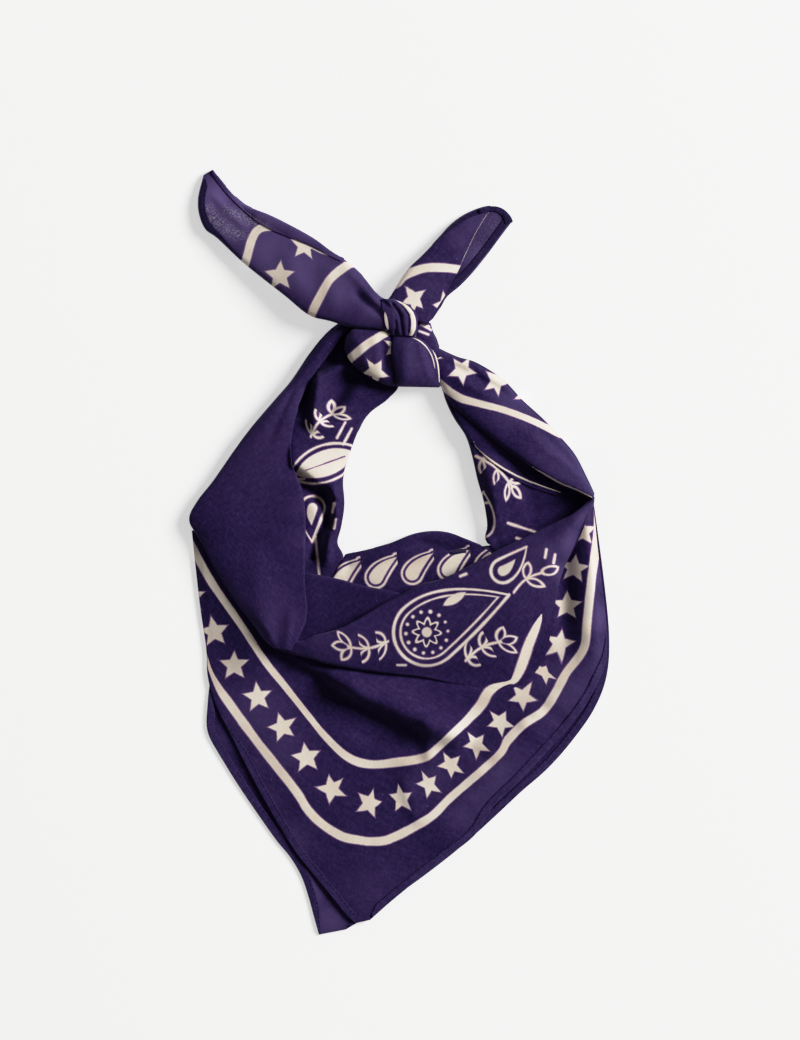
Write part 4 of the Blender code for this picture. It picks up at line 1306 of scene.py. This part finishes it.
# %% Lay the right end, lower fold
TAIL_RIGHT_UNDER = [
    (0, 152, 16, 17, 143, 15, 1, 0, 9),
    (5, 161, 14, 24, 154, 13, 1, 0, 8),
    (11, 173, 12, 28.4, 161.5, 11, 1, 0, 7),
    (19, 183, 10, 36.5, 168.1, 9, 1, 0, 5.5),
    (25, 192, 8, 44.1, 175.4, 7.5, 1, 0, 4.5),
    (31.5, 200, 6.5, 51, 183.6, 6, 1, 0, 3),
    (36, 206, 5, 56.7, 190.8, 4.6, 1, 0, 2),
    (42, 210.5, 4, 62.4, 198.7, 3.5, 1, 0, 1),
    (50, 213.8, 3.4, 68.4, 206.9, 2.8, 0.5, 0, 0),
    (55.5, 216, 3.2, 70.3, 208.8, 2.6, 0.3, 0, 0),
    (58.4, 217.6, 3, 68.6, 212.6, 2.6, 0, 0, 0),
    (61.5, 217.4, 3, 65.2, 215.8, 2.6, 0, 0, 0),
]
tail_right_under = Stretch("cloth_tail_right_under", TAIL_RIGHT_UNDER, pitch=1.5)
tail_right_under.make(tail_cotton, "printed_cotton")
add_print(tail_right_under, painted_light=[(50, 186, 12, 0.42), (60, 203, 16, 0.3)],
          thin=[(50, 192, 14, 0.14), (60, 206, 9, 0.2)])
tail_right_hem = lay_hem("hem_tail_right", tail_right_under, "b", 0.12, 0.9, 30, 4.2, 5)

# %% Lay the right end, upper fold
TAIL_RIGHT_OVER = [
    (-9, 155, 18, 17, 142.8, 17, 2, 0, 10),
    (-2, 166, 16, 22, 152, 15, 2.5, 0, 9),
    (5.7, 177, 14, 27.7, 160.9, 13, 2.5, 0, 8),
    (14, 185.3, 12, 31.5, 168.4, 11, 2.5, 0, 6.5),
    (21, 193, 10, 36.5, 177.2, 9.5, 2, 0, 5),
    (27.1, 199.9, 8, 41, 187.3, 8, 2, 0, 3.5),
    (30.9, 204.3, 6.5, 43.5, 192.6, 7, 1.5, 0, 2.5),
    (36.5, 209.1, 5.5, 46, 198, 6, 1, 0, 1.5),
    (42.8, 213.0, 4.8, 49.5, 204.3, 5, 0.6, 0, 1),
    (50, 216.0, 4.4, 53.4, 210.8, 4.4, 0.2, 0, 1),
    (55.5, 217.3, 4.2, 56.4, 214.6, 4.2, 0, 0, 1),
    (60.5, 217.5, 3.8, 60, 215.8, 3.8, 0, 0, 1),
]
tail_right_over = Stretch("cloth_tail_right_over", TAIL_RIGHT_OVER, pitch=1.5)
tail_right_over.make(tail_cotton, "printed_cotton")
tail_right_top_hem = lay_hem("hem_tail_right_top", tail_right_over, "a", 0.46, 0.88, 30, 2.6, 9)
TAIL_RIGHT_END = [
    (70.6, 208.4, 3, 66.3, 206.8, 3, 0.3, 0, 0),
    (69.2, 212.0, 3, 65.7, 209.8, 3, 0.3, 0, 0),
    (65.6, 215.7, 3, 63.4, 212.6, 3, 0.3, 0, 0),
    (61.4, 217.6, 3, 60.4, 214.3, 3, 0.3, 0, 0),
    (57.4, 217.8, 4, 57.6, 214.8, 4, 0.3, 0, 0),
    (53.4, 217.2, 4, 54.4, 214.3, 4, 0.3, 0, 0),
    (48.6, 215.7, 4, 50.0, 213.2, 4, 0.2, 0, 0),
]
tail_right_end_hem = hem_from("hem_tail_right_end", TAIL_RIGHT_END)
# A thin light line along the fold. It is printed, and stands for the fold's lit edge.
LIT_EDGE = 0.07
TAIL_RIGHT_FOLD = [(row[3], row[4], LIT_EDGE) for row in TAIL_RIGHT_OVER[4:11]]
TAIL_RIGHT_LINE = [(-10, 166, W), (-2, 169, W), (3, 174, W), (15, 178.5, W), (26.5, 179, W),
                   (37, 178, W), (46, 176, W)]
TAIL_RIGHT_STARS = [(-8, 152, -19), (8.8, 159, 0), (28, 155, 25), (42, 151, 44)]
add_print(tail_right_over, outer=[TAIL_RIGHT_LINE, TAIL_RIGHT_FOLD], stars=TAIL_RIGHT_STARS, turn=33,
          painted_light=[(49, 208, 12, 0.34), (38, 198, 10, 0.2), (14, 168, 14, 0.14)])

# %% Lay the left loop
KNOT_LOOP_LEFT = [
    (-34, 134.4, 16, -35, 129.8, 15, 1, 0, 6),
    (-29.5, 139.4, 18.5, -31.5, 122, 16.5, 3, 0, 5),
    (-21, 140.1, 18, -24.7, 115.2, 15, 5, 0, 4),
    (-12.9, 140.1, 18.5, -16.3, 110.1, 15, 5, 0, 4),
    (-7, 138, 17.5, -7.8, 106.3, 14, 4, 0, 4),
    (-1, 134, 16, 1, 105.5, 13, 3, 0, 4),
]
LOOP_LEFT_FOLDS = [
    (-34, 132, -6, 136, 4, 4, 1.4, SOFT),
    (-12, 138, -8, 110, 3, 3, -2.4, SOFT),
    (-26, 136, -20, 112, 4, 4, 1.0, SOFT),
]
knot_loop_left = Stretch("cloth_knot_loop_left", KNOT_LOOP_LEFT, pitch=1.1, folds=LOOP_LEFT_FOLDS)
knot_loop_left.make(tail_cotton, "printed_cotton")
LOOP_LINE = [(2, 146, 2.4), (-8, 138.5, 2.4), (-20, 131, 2.5), (-31, 122, 2.5), (-40, 114, 2.5)]
LOOP_STARS = [(-38, 102, -32), (-15.4, 113.6, 0), (-3.5, 127, 22), (4, 142, 44)]
add_print(knot_loop_left, inner=[LOOP_LINE], stars=LOOP_STARS, turn=9, painted_light=[(-18, 126, 16, 0.15)])

# %% Lay the right loop
KNOT_LOOP_RIGHT = [
    (-4.4, 140, 18, 7.5, 140, 17, 2, 0, 6),
    (-4.4, 136, 19, 9.5, 136, 18, 3, 0, 6),
    (-5.2, 132, 20, 14.5, 133, 17, 4, 0, 5),
    (-5.6, 126, 20, 20.5, 127, 15, 5, 0, 4),
    (-4.2, 120, 19.5, 23.5, 121, 13, 5, 0, 3),
    (-2.6, 113, 18.5, 24.9, 113, 12, 5, 0, 3),
    (-1.9, 107, 17, 25.1, 107, 11, 4, 0, 3),
    (-1.8, 104.3, 14, 24.4, 103.8, 10, 2, 0, 3),
]
LOOP_RIGHT_FOLDS = [
    (14, 136, 24, 106, 1.4, 1.4, -1.2, SOFT),
    (10, 136, 19, 106, 1.6, 1.6, 0.8, SOFT),
    (4, 134, 2, 106, 5, 5, 1.2, SOFT),
]
knot_loop_right = Stretch("cloth_knot_loop_right", KNOT_LOOP_RIGHT, pitch=1.1, folds=LOOP_RIGHT_FOLDS)
knot_loop_right.make(tail_cotton, "printed_cotton")
PIPING = [[(9, 136.4, 0.3), (13.6, 134.9, 0.35), (18.6, 130.7, 0.38), (22, 124.6, 0.38), (24, 117, 0.36),
           (24.8, 107, 0.3)],
          [(8, 134.8, 0.1), (12.6, 132.6, 0.32), (17, 128.6, 0.36), (20.2, 123, 0.34), (22.2, 115, 0.15)]]
add_print(knot_loop_right, outer=PIPING, painted_light=[(10, 120, 18, 0.2)])

# %% Lay the left end, lower fold
TAIL_LEFT_UNDER = [
    (-4, 157, 24, -4, 139.5, 22, 3, 0, 14),
    (-13, 160.5, 22, -15, 140.5, 21, 3, 0, 14),
    (-24, 173.5, 18, -30, 142, 19.5, 3, 0, 13),
    (-35, 183, 16, -44, 146.3, 18, 3, 0, 11.5),
    (-47, 189.5, 14, -57, 150.3, 16, 3, 0, 10),
    (-58, 196.5, 12, -72, 162.5, 14, 3, 0, 8),
    (-70, 204, 10, -86.6, 174, 12, 2.5, 0, 6),
    (-83, 210.5, 8, -99, 184.2, 10, 2, 0, 4),
    (-95.5, 216, 6, -113.7, 198.2, 8, 1.5, 0, 2),
    (-104, 223, 5, -121.7, 204.4, 7, 1, 0, 0.8),
    (-110, 229.5, 4, -125.7, 214, 6, 1, 0, 0),
    (-114, 234.5, 4, -126.2, 224, 5, 0.5, 0, 0),
    (-118.5, 240.7, 3.5, -123, 238, 3.5, 0, 0, 0),
]
TAIL_LEFT_FOLDS = [
    (-120, 227, -94, 200, 3, 3, 1.1, SOFT),
    (-34, 182, -10, 152, 3, 5, 1.8, SOFT),
    (-30, 164, -10, 148, 3, 3, -2.0, SOFT),
    (-48, 186, -40, 150, 6, 6, 0.8, SOFT),
    (-76, 196, -58, 158, 7, 7, 0.8, SOFT),
]
tail_left_under = Stretch("cloth_tail_left_under", TAIL_LEFT_UNDER, pitch=1.5, crest=0.66,
                          folds=TAIL_LEFT_FOLDS)
tail_left_under.make(tail_cotton, "printed_cotton")
TAIL_LEFT_OUTER = [(-102, 172, W), (-97, 183, W), (-93, 197, W), (-88, 203.5, 2.4), (-78, 203.5, 1.5),
                   (-68, 199, 1.2), (-50, 189, 0.8), (-40, 186, 0.5)]
TAIL_LEFT_INNER = [(-22, 186, W), (-32, 181, W), (-43, 172.5, W), (-50, 161, W), (-55, 151, W),
                   (-58, 140, W)]
TAIL_LEFT_STARS = [(-88, 150, -25), (-75.5, 174, 0), (-62.5, 190, 21), (-46, 205, 46)]
add_print(tail_left_under, outer=[TAIL_LEFT_OUTER], inner=[TAIL_LEFT_INNER], stars=TAIL_LEFT_STARS, turn=25,
          thin=[(-120.5, 216, 3.4, 0.9), (-118, 211, 4, 1.0), (-113.5, 207, 4, 1.0), (-108.5, 203.5, 4, 1.0),
                (-103, 201, 4, 0.9), (-98, 199.5, 3, 0.7), (-109.5, 215.5, 3, 0.8), (-105, 213.5, 3.2, 1.0),
                (-100, 211.5, 3.4, 1.0), (-95, 209, 3.4, 1.0), (-90, 206.5, 3, 0.9), (-85.5, 204.8, 2.6, 0.8),
                (-82, 172, 9, 0.2)],
          painted_light=[(-116, 224, 14, 1.0), (-104, 208, 18, 0.76), (-84, 191, 20, 0.76), (-62, 177, 22, 0.7),
                (-38, 167, 18, 0.6), (-16, 153, 12, 0.5)])
tail_left_hem = lay_hem("hem_tail_left", tail_left_under, "b", 0.60, 0.985, 34, 3.6, 12)

# %% Lay the left end, upper fold
TAIL_LEFT_OVER = [
    (-118.2, 240.2, 4.8, -119, 239.0, 4.8, 0, 0, 0),
    (-112, 232.3, 5.0, -113.4, 231.0, 5.0, 0, 0, 0),
    (-106.3, 225.8, 5.4, -107.8, 224.4, 5.4, 0, 0, 0),
    (-99.5, 219.6, 6.0, -101, 217.6, 6.0, 0.4, 0, 2),
    (-95.6, 217.2, 7.2, -96.6, 213.6, 7.2, 0.8, 0, 3),
    (-90, 215.0, 8.6, -90.5, 208.6, 8.8, 1.2, 0, 3),
    (-81, 211.5, 10.0, -82, 203.4, 10.2, 1.4, 0, 4),
    (-68.2, 205, 12.0, -70.5, 198.4, 12.2, 1.4, 0, 6),
    (-54.5, 197.2, 14.0, -58, 193.4, 14.2, 1, 0, 8),
    (-44, 189.4, 15.6, -46.5, 187.6, 15.6, 0.4, 0, 10),
    (-35.5, 184, 15.8, -37, 182.8, 15.8, 0, 0, 11),
]
tail_left_over = Stretch("cloth_tail_left_over", TAIL_LEFT_OVER, pitch=1.2)
tail_left_over.make(tail_cotton, "printed_cotton")
add_print(tail_left_over, thin=[(-95, 211.5, 2.4, 0.6), (-90, 208.8, 2.6, 0.7), (-84, 205, 2.6, 0.6)],
          painted_light=[(-100, 219, 14, 0.6), (-82, 208, 16, 0.56), (-62, 198, 16, 0.48), (-44, 188, 12, 0.4)])

# %% Lay the band round the knot
KNOT_WRAP = [
    (-11.6, 159, 24, -5, 159, 25, 2, 0, 14),
    (-11.3, 155.5, 24, 3, 156, 25, 3.5, 0, 14),
    (-10.6, 150.5, 22.5, 8.3, 151.5, 24, 4, 0, 14),
    (-9.6, 145, 21.5, 10.2, 146, 23.5, 4, 0, 14),
    (-8.6, 140, 20.5, 10.2, 140, 23, 3.5, 0, 14),
    (-5, 136.2, 20.5, 9.2, 135.9, 22.5, 2, 0, 14),
]
WRAP_FOLDS = [
    (-10.6, 158.2, -3.0, 148.6, 1.3, 1.1, -1.9, SOFT),
    (-4.6, 151.4, -2.4, 134.8, 1.2, 1.1, -1.9, SOFT),
    (-6.0, 157.6, 1.2, 147.6, 1.1, 1.0, -1.6, SOFT),
    (-0.3, 150.6, 2.0, 134.8, 1.1, 1.0, -1.7, SOFT),
    (-1.0, 157.6, 6.4, 147.6, 1.0, 1.0, -1.2, SOFT),
    (5.2, 150.6, 5.4, 134.8, 1.0, 1.0, -1.3, SOFT),
    (-9.2, 146.4, -5.6, 137.0, 1.0, 1.0, -1.2, SOFT),
]
knot_wrap = Stretch("cloth_knot_wrap", KNOT_WRAP, pitch=0.7, folds=WRAP_FOLDS, edge_fade=1.6,
                    ripples=((9, 0.5), (3.2, 0.25)))
knot_wrap.make(tail_cotton, "printed_cotton")
WRAP_LINES = [[(-2.6, 158.6, 0.2), (2.6, 155.2, 0.7), (6.6, 151, 1.2), (8.4, 146, 1.35), (8.3, 140.5, 1.3),
               (6.6, 136, 0.9)],
              [(-9.6, 151, 0.1), (-9.0, 148, 0.75), (-8.4, 144, 0.9), (-7.6, 140.5, 0.5), (-7.2, 139.4, 0.1)]]
add_print(knot_wrap, inner=WRAP_LINES, painted_light=[(-5, 152, 8, 0.26), (2, 144, 8, 0.18)])

# %% [markdown]
# ## Stitching
# A rolled hem is held by one row of lockstitch close to its inner fold. The stitches repeat
# along a path, so a node tree places them: it turns each hem's stitch line into a curve, cuts
# it at the stitch pitch, and puts one short thread at every cut, pointing along the line.

# %% Make one stitch
STITCH_PITCH, STITCH_LENGTH, THREAD_RADIUS = 2.9, 2.0, 0.17
THREAD_STEPS, THREAD_SIDES = 6, 6


def one_stitch():
    """A short thread along x that rises from the cloth and dips back into it."""
    mesh = bpy.data.meshes.new("one_stitch")
    turn = np.arange(THREAD_SIDES) * 2 * math.pi / THREAD_SIDES
    points = []
    for share in np.linspace(-1, 1, THREAD_STEPS):
        radius = THREAD_RADIUS * (1 - 0.35 * share ** 4)
        rise = 0.22 * (1 - share ** 2) - 0.12
        points += [(share * STITCH_LENGTH / 2, radius * math.cos(a), rise + radius * math.sin(a))
                   for a in turn]
    faces = []
    for i in range(THREAD_STEPS - 1):
        ring, next_ring = i * THREAD_SIDES, (i + 1) * THREAD_SIDES
        for j in range(THREAD_SIDES):
            k = (j + 1) % THREAD_SIDES
            faces.append((ring + j, next_ring + j, next_ring + k, ring + k))
    faces += [tuple(range(THREAD_SIDES)),
              tuple(len(points) - 1 - j for j in range(THREAD_SIDES))]
    mesh.from_pydata((np.array(points) * MM).tolist(), [], [face[::-1] for face in faces])
    mesh.shade_smooth()
    return bpy.data.objects.new("one_stitch", mesh)


print("thread, mm thick:", 2 * THREAD_RADIUS)


# %% Build the stitching tree
def add_node(tree, kind, **inputs):
    """A node with some of its inputs set or linked by name."""
    node = tree.nodes.new(kind)
    for name, value in inputs.items():
        socket = node.inputs[name.replace("_", " ")]
        if isinstance(value, bpy.types.NodeSocket):
            tree.links.new(value, socket)
        else:
            socket.default_value = value
    return node


def build_stitching():
    tree = bpy.data.node_groups.new("stitches_along_a_line", "GeometryNodeTree")
    for name, kind in (("Line", "NodeSocketGeometry"), ("Pitch", "NodeSocketFloat"),
                       ("Stitch", "NodeSocketObject"), ("Thread", "NodeSocketMaterial"),
                       ("Seed", "NodeSocketInt")):
        tree.interface.new_socket(name=name, in_out="INPUT", socket_type=kind)
    tree.interface.new_socket(name="Stitches", in_out="OUTPUT", socket_type="NodeSocketGeometry")
    entry = tree.nodes.new("NodeGroupInput")
    curve = add_node(tree, "GeometryNodeMeshToCurve", Mesh=entry.outputs["Line"])
    resample = tree.nodes.new("GeometryNodeResampleCurve")
    resample.mode = "LENGTH"
    tree.links.new(curve.outputs["Curve"], resample.inputs["Curve"])
    tree.links.new(entry.outputs["Pitch"], resample.inputs["Length"])
    tangent = tree.nodes.new("GeometryNodeInputTangent")
    align = tree.nodes.new("FunctionNodeAlignRotationToVector")
    align.axis = "X"
    tree.links.new(tangent.outputs[0], align.inputs["Vector"])
    stitch = add_node(tree, "GeometryNodeObjectInfo", Object=entry.outputs["Stitch"])
    chance = tree.nodes.new("FunctionNodeRandomValue")
    chance.data_type = "FLOAT_VECTOR"
    chance.inputs[0].default_value, chance.inputs[1].default_value = (0.85, 0.8, 0.8), (1.1, 1.15, 1.1)
    tree.links.new(entry.outputs["Seed"], chance.inputs["Seed"])
    place = add_node(tree, "GeometryNodeInstanceOnPoints", Points=resample.outputs["Curve"],
                     Instance=stitch.outputs["Geometry"], Rotation=align.outputs["Rotation"],
                     Scale=chance.outputs[0])
    real = add_node(tree, "GeometryNodeRealizeInstances", Geometry=place.outputs["Instances"])
    dressed = add_node(tree, "GeometryNodeSetMaterial", Geometry=real.outputs["Geometry"],
                       Material=entry.outputs["Thread"])
    leave = tree.nodes.new("NodeGroupOutput")
    tree.links.new(dressed.outputs["Geometry"], leave.inputs["Stitches"])
    return tree


thread = cotton("stitching_thread", (0.0100, 0.0058, 0.0270), (0.024, 0.016, 0.056), 0, 0.7, print_on=False)
stitch_model = one_stitch()
stitching_tree = build_stitching()
print("stitching tree:", len(stitching_tree.nodes), "nodes")

# %% Sew the hems
STITCH_INSET = 0.24


def sew(name, hem, side, first=0.0, last=1.0, seed=0):
    """Stitches along a hem, a little way in from its inner fold."""
    column = round((1 - STITCH_INSET if side == "a" else STITCH_INSET) * (hem.x.shape[1] - 1))
    rows = slice(int(first * (hem.x.shape[0] - 1)), int(last * (hem.x.shape[0] - 1)) + 1)
    line = np.stack([grid[rows, column] for grid in (hem.x, hem.y, hem.top)], axis=1) * MM
    mesh = bpy.data.meshes.new(name + "_line")
    mesh.from_pydata(line.tolist(), [(i, i + 1) for i in range(len(line) - 1)], [])
    guide = bpy.data.objects.new(name + "_line", mesh)
    scene.collection.objects.link(guide)
    modifier = guide.modifiers.new("stitches", "NODES")
    modifier.node_group = stitching_tree
    sockets = {item.name: item.identifier for item in stitching_tree.interface.items_tree
               if item.in_out == "INPUT"}
    for socket, value in (("Pitch", STITCH_PITCH * MM), ("Stitch", stitch_model), ("Thread", thread),
                          ("Seed", seed)):
        modifier[sockets[socket]] = value
    bpy.context.view_layer.update()
    depsgraph = bpy.context.evaluated_depsgraph_get()
    sewn = bpy.data.meshes.new_from_object(guide.evaluated_get(depsgraph), depsgraph=depsgraph)
    sewn.name = name
    guide.modifiers.remove(modifier)
    bpy.data.objects.remove(guide)
    stitches = bpy.data.objects.new(name, sewn)
    scene.collection.objects.link(stitches)
    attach(stitches, "root")
    print(name, len(sewn.polygons), "faces,", list(sewn.materials))
    return stitches


back_stitches = [sew("stitches_back_left", back_hem_left, "a", 0.3, 1.0, 1),
                 sew("stitches_back_right", back_hem_right, "b", 0.0, 1.0, 2)]
front_stitches = [sew("stitches_front_left", front_hem_left, "a", 0.06, 0.99, 3),
                  sew("stitches_front_right", front_hem_right, "b", 0.06, 0.98, 4)]
tail_right_stitches = [sew("stitches_tail_right", tail_right_hem, "b", 0.2, 0.98, 5)]
tail_left_stitches = [sew("stitches_tail_left", tail_left_hem, "b", 0.35, 0.98, 6)]
bpy.data.objects.remove(stitch_model)

# %% [markdown]
# ## Which frame parts the cloth stands for
# Every plain solid in the frame has one shell here that takes its place. The flap inside the
# loop and two short hems are extra, so they replace nothing. All of it is one loose cloth, so
# everything rides on the one body.

# %% Tie the cloth to the frame
STANDS_FOR = {
    "back_point": back_point, "back_hem_left": back_hem_left, "back_hem_right": back_hem_right,
    "front_point": front_point, "front_hem_left": front_hem_left, "front_hem_right": front_hem_right,
    "inner_left": inner_left, "inner_throat": inner_throat, "inner_right": inner_right,
    "neck_left": neck_left, "neck_right": neck_right, "cowl_tuck": cowl_tuck, "cowl_fold": cowl_fold,
    "knot_back": knot_back, "tail_right_under": tail_right_under, "tail_right_hem": tail_right_hem,
    "tail_right_over": tail_right_over, "knot_loop_left": knot_loop_left,
    "knot_loop_right": knot_loop_right, "tail_left_under": tail_left_under,
    "tail_left_hem": tail_left_hem, "tail_left_over": tail_left_over, "knot_wrap": knot_wrap,
}
for node, stretch in STANDS_FOR.items():
    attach(stretch.object, "root")
    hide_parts(node)
for stretch in (inner_flap, tail_right_top_hem, tail_right_end_hem):
    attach(stretch.object, "root")
print("shells tied to the frame:", len(STANDS_FOR))

# %% [markdown]
# ## What is measured, and what is only set
# Each shell gives its own width and length, and the area of its top and of one side. The cut
# printed for each comes from these, but three rules can raise them. LEAST_WIDTH is the
# narrowest a cut is given. A length grows where the side adds more area than width times
# length can hold. The last rule is the weakest: a band nearly as tall as it is wide is no flat
# sheet, so its area is raised to half its surface over ROLLED. That is worked out backwards and
# measures nothing. It sets the area of the left end's upper fold, which would be refused
# without it, and of the knot's right loop. The two points' areas are about 4 % too large,
# because the count of side columns is that of a thick shell and runs on into a thin one's
# underside.

# %% Work out every stretch's cut
# Columns: stretch, how it is held, what it rests on, and its hems and stitches.
SHEETS = [
    (back_point, "laid", [], [back_hem_left, back_hem_right, *back_stitches]),
    (front_point, "laid", [back_point], [front_hem_left, front_hem_right, *front_stitches]),
    (inner_left, "folded", [back_point], []),
    (inner_throat, "folded", [front_point], []),
    (inner_right, "folded", [back_point], []),
    (inner_flap, "folded", [inner_right], []),
    (neck_right, "folded", [inner_right], []),
    (cowl_tuck, "folded", [front_point], []),
    (cowl_fold, "folded", [front_point], []),
    (neck_left, "folded", [front_point, cowl_fold], []),
    (knot_back, "folded", [neck_right], []),
    (tail_right_under, "folded", [knot_back], [tail_right_hem, tail_right_end_hem, *tail_right_stitches]),
    (tail_right_over, "folded", [tail_right_under], [tail_right_top_hem]),
    (knot_loop_left, "folded", [neck_left], []),
    (knot_loop_right, "folded", [neck_right], []),
    (tail_left_under, "folded", [knot_loop_left], [tail_left_hem, *tail_left_stitches]),
    (tail_left_over, "folded", [tail_left_under], []),
    (knot_wrap, "folded", [knot_loop_right], []),
]
LEAST_WIDTH = 10.5
ROLLED = 1.4
for stretch, held, below, trims in SHEETS:
    half_surface = sum(face.area for face in stretch.object.data.polygons) / 2 / MM ** 2
    width = max(stretch.width, LEAST_WIDTH)
    area = max(stretch.cut_area, half_surface / ROLLED)
    length = max(stretch.length, area / width)
    length * MM
    area * MM * MM
    [trim.object if isinstance(trim, Stretch) else trim for trim in trims]
    note = "" if area == stretch.cut_area else f", raised from {stretch.cut_area / 100:.1f}"
    print(f"{stretch.name}: cut {width:.0f} x {length:.0f} mm, {area / 100:.1f} cm2{note}")

# %% The end
print("the cloth is laid")
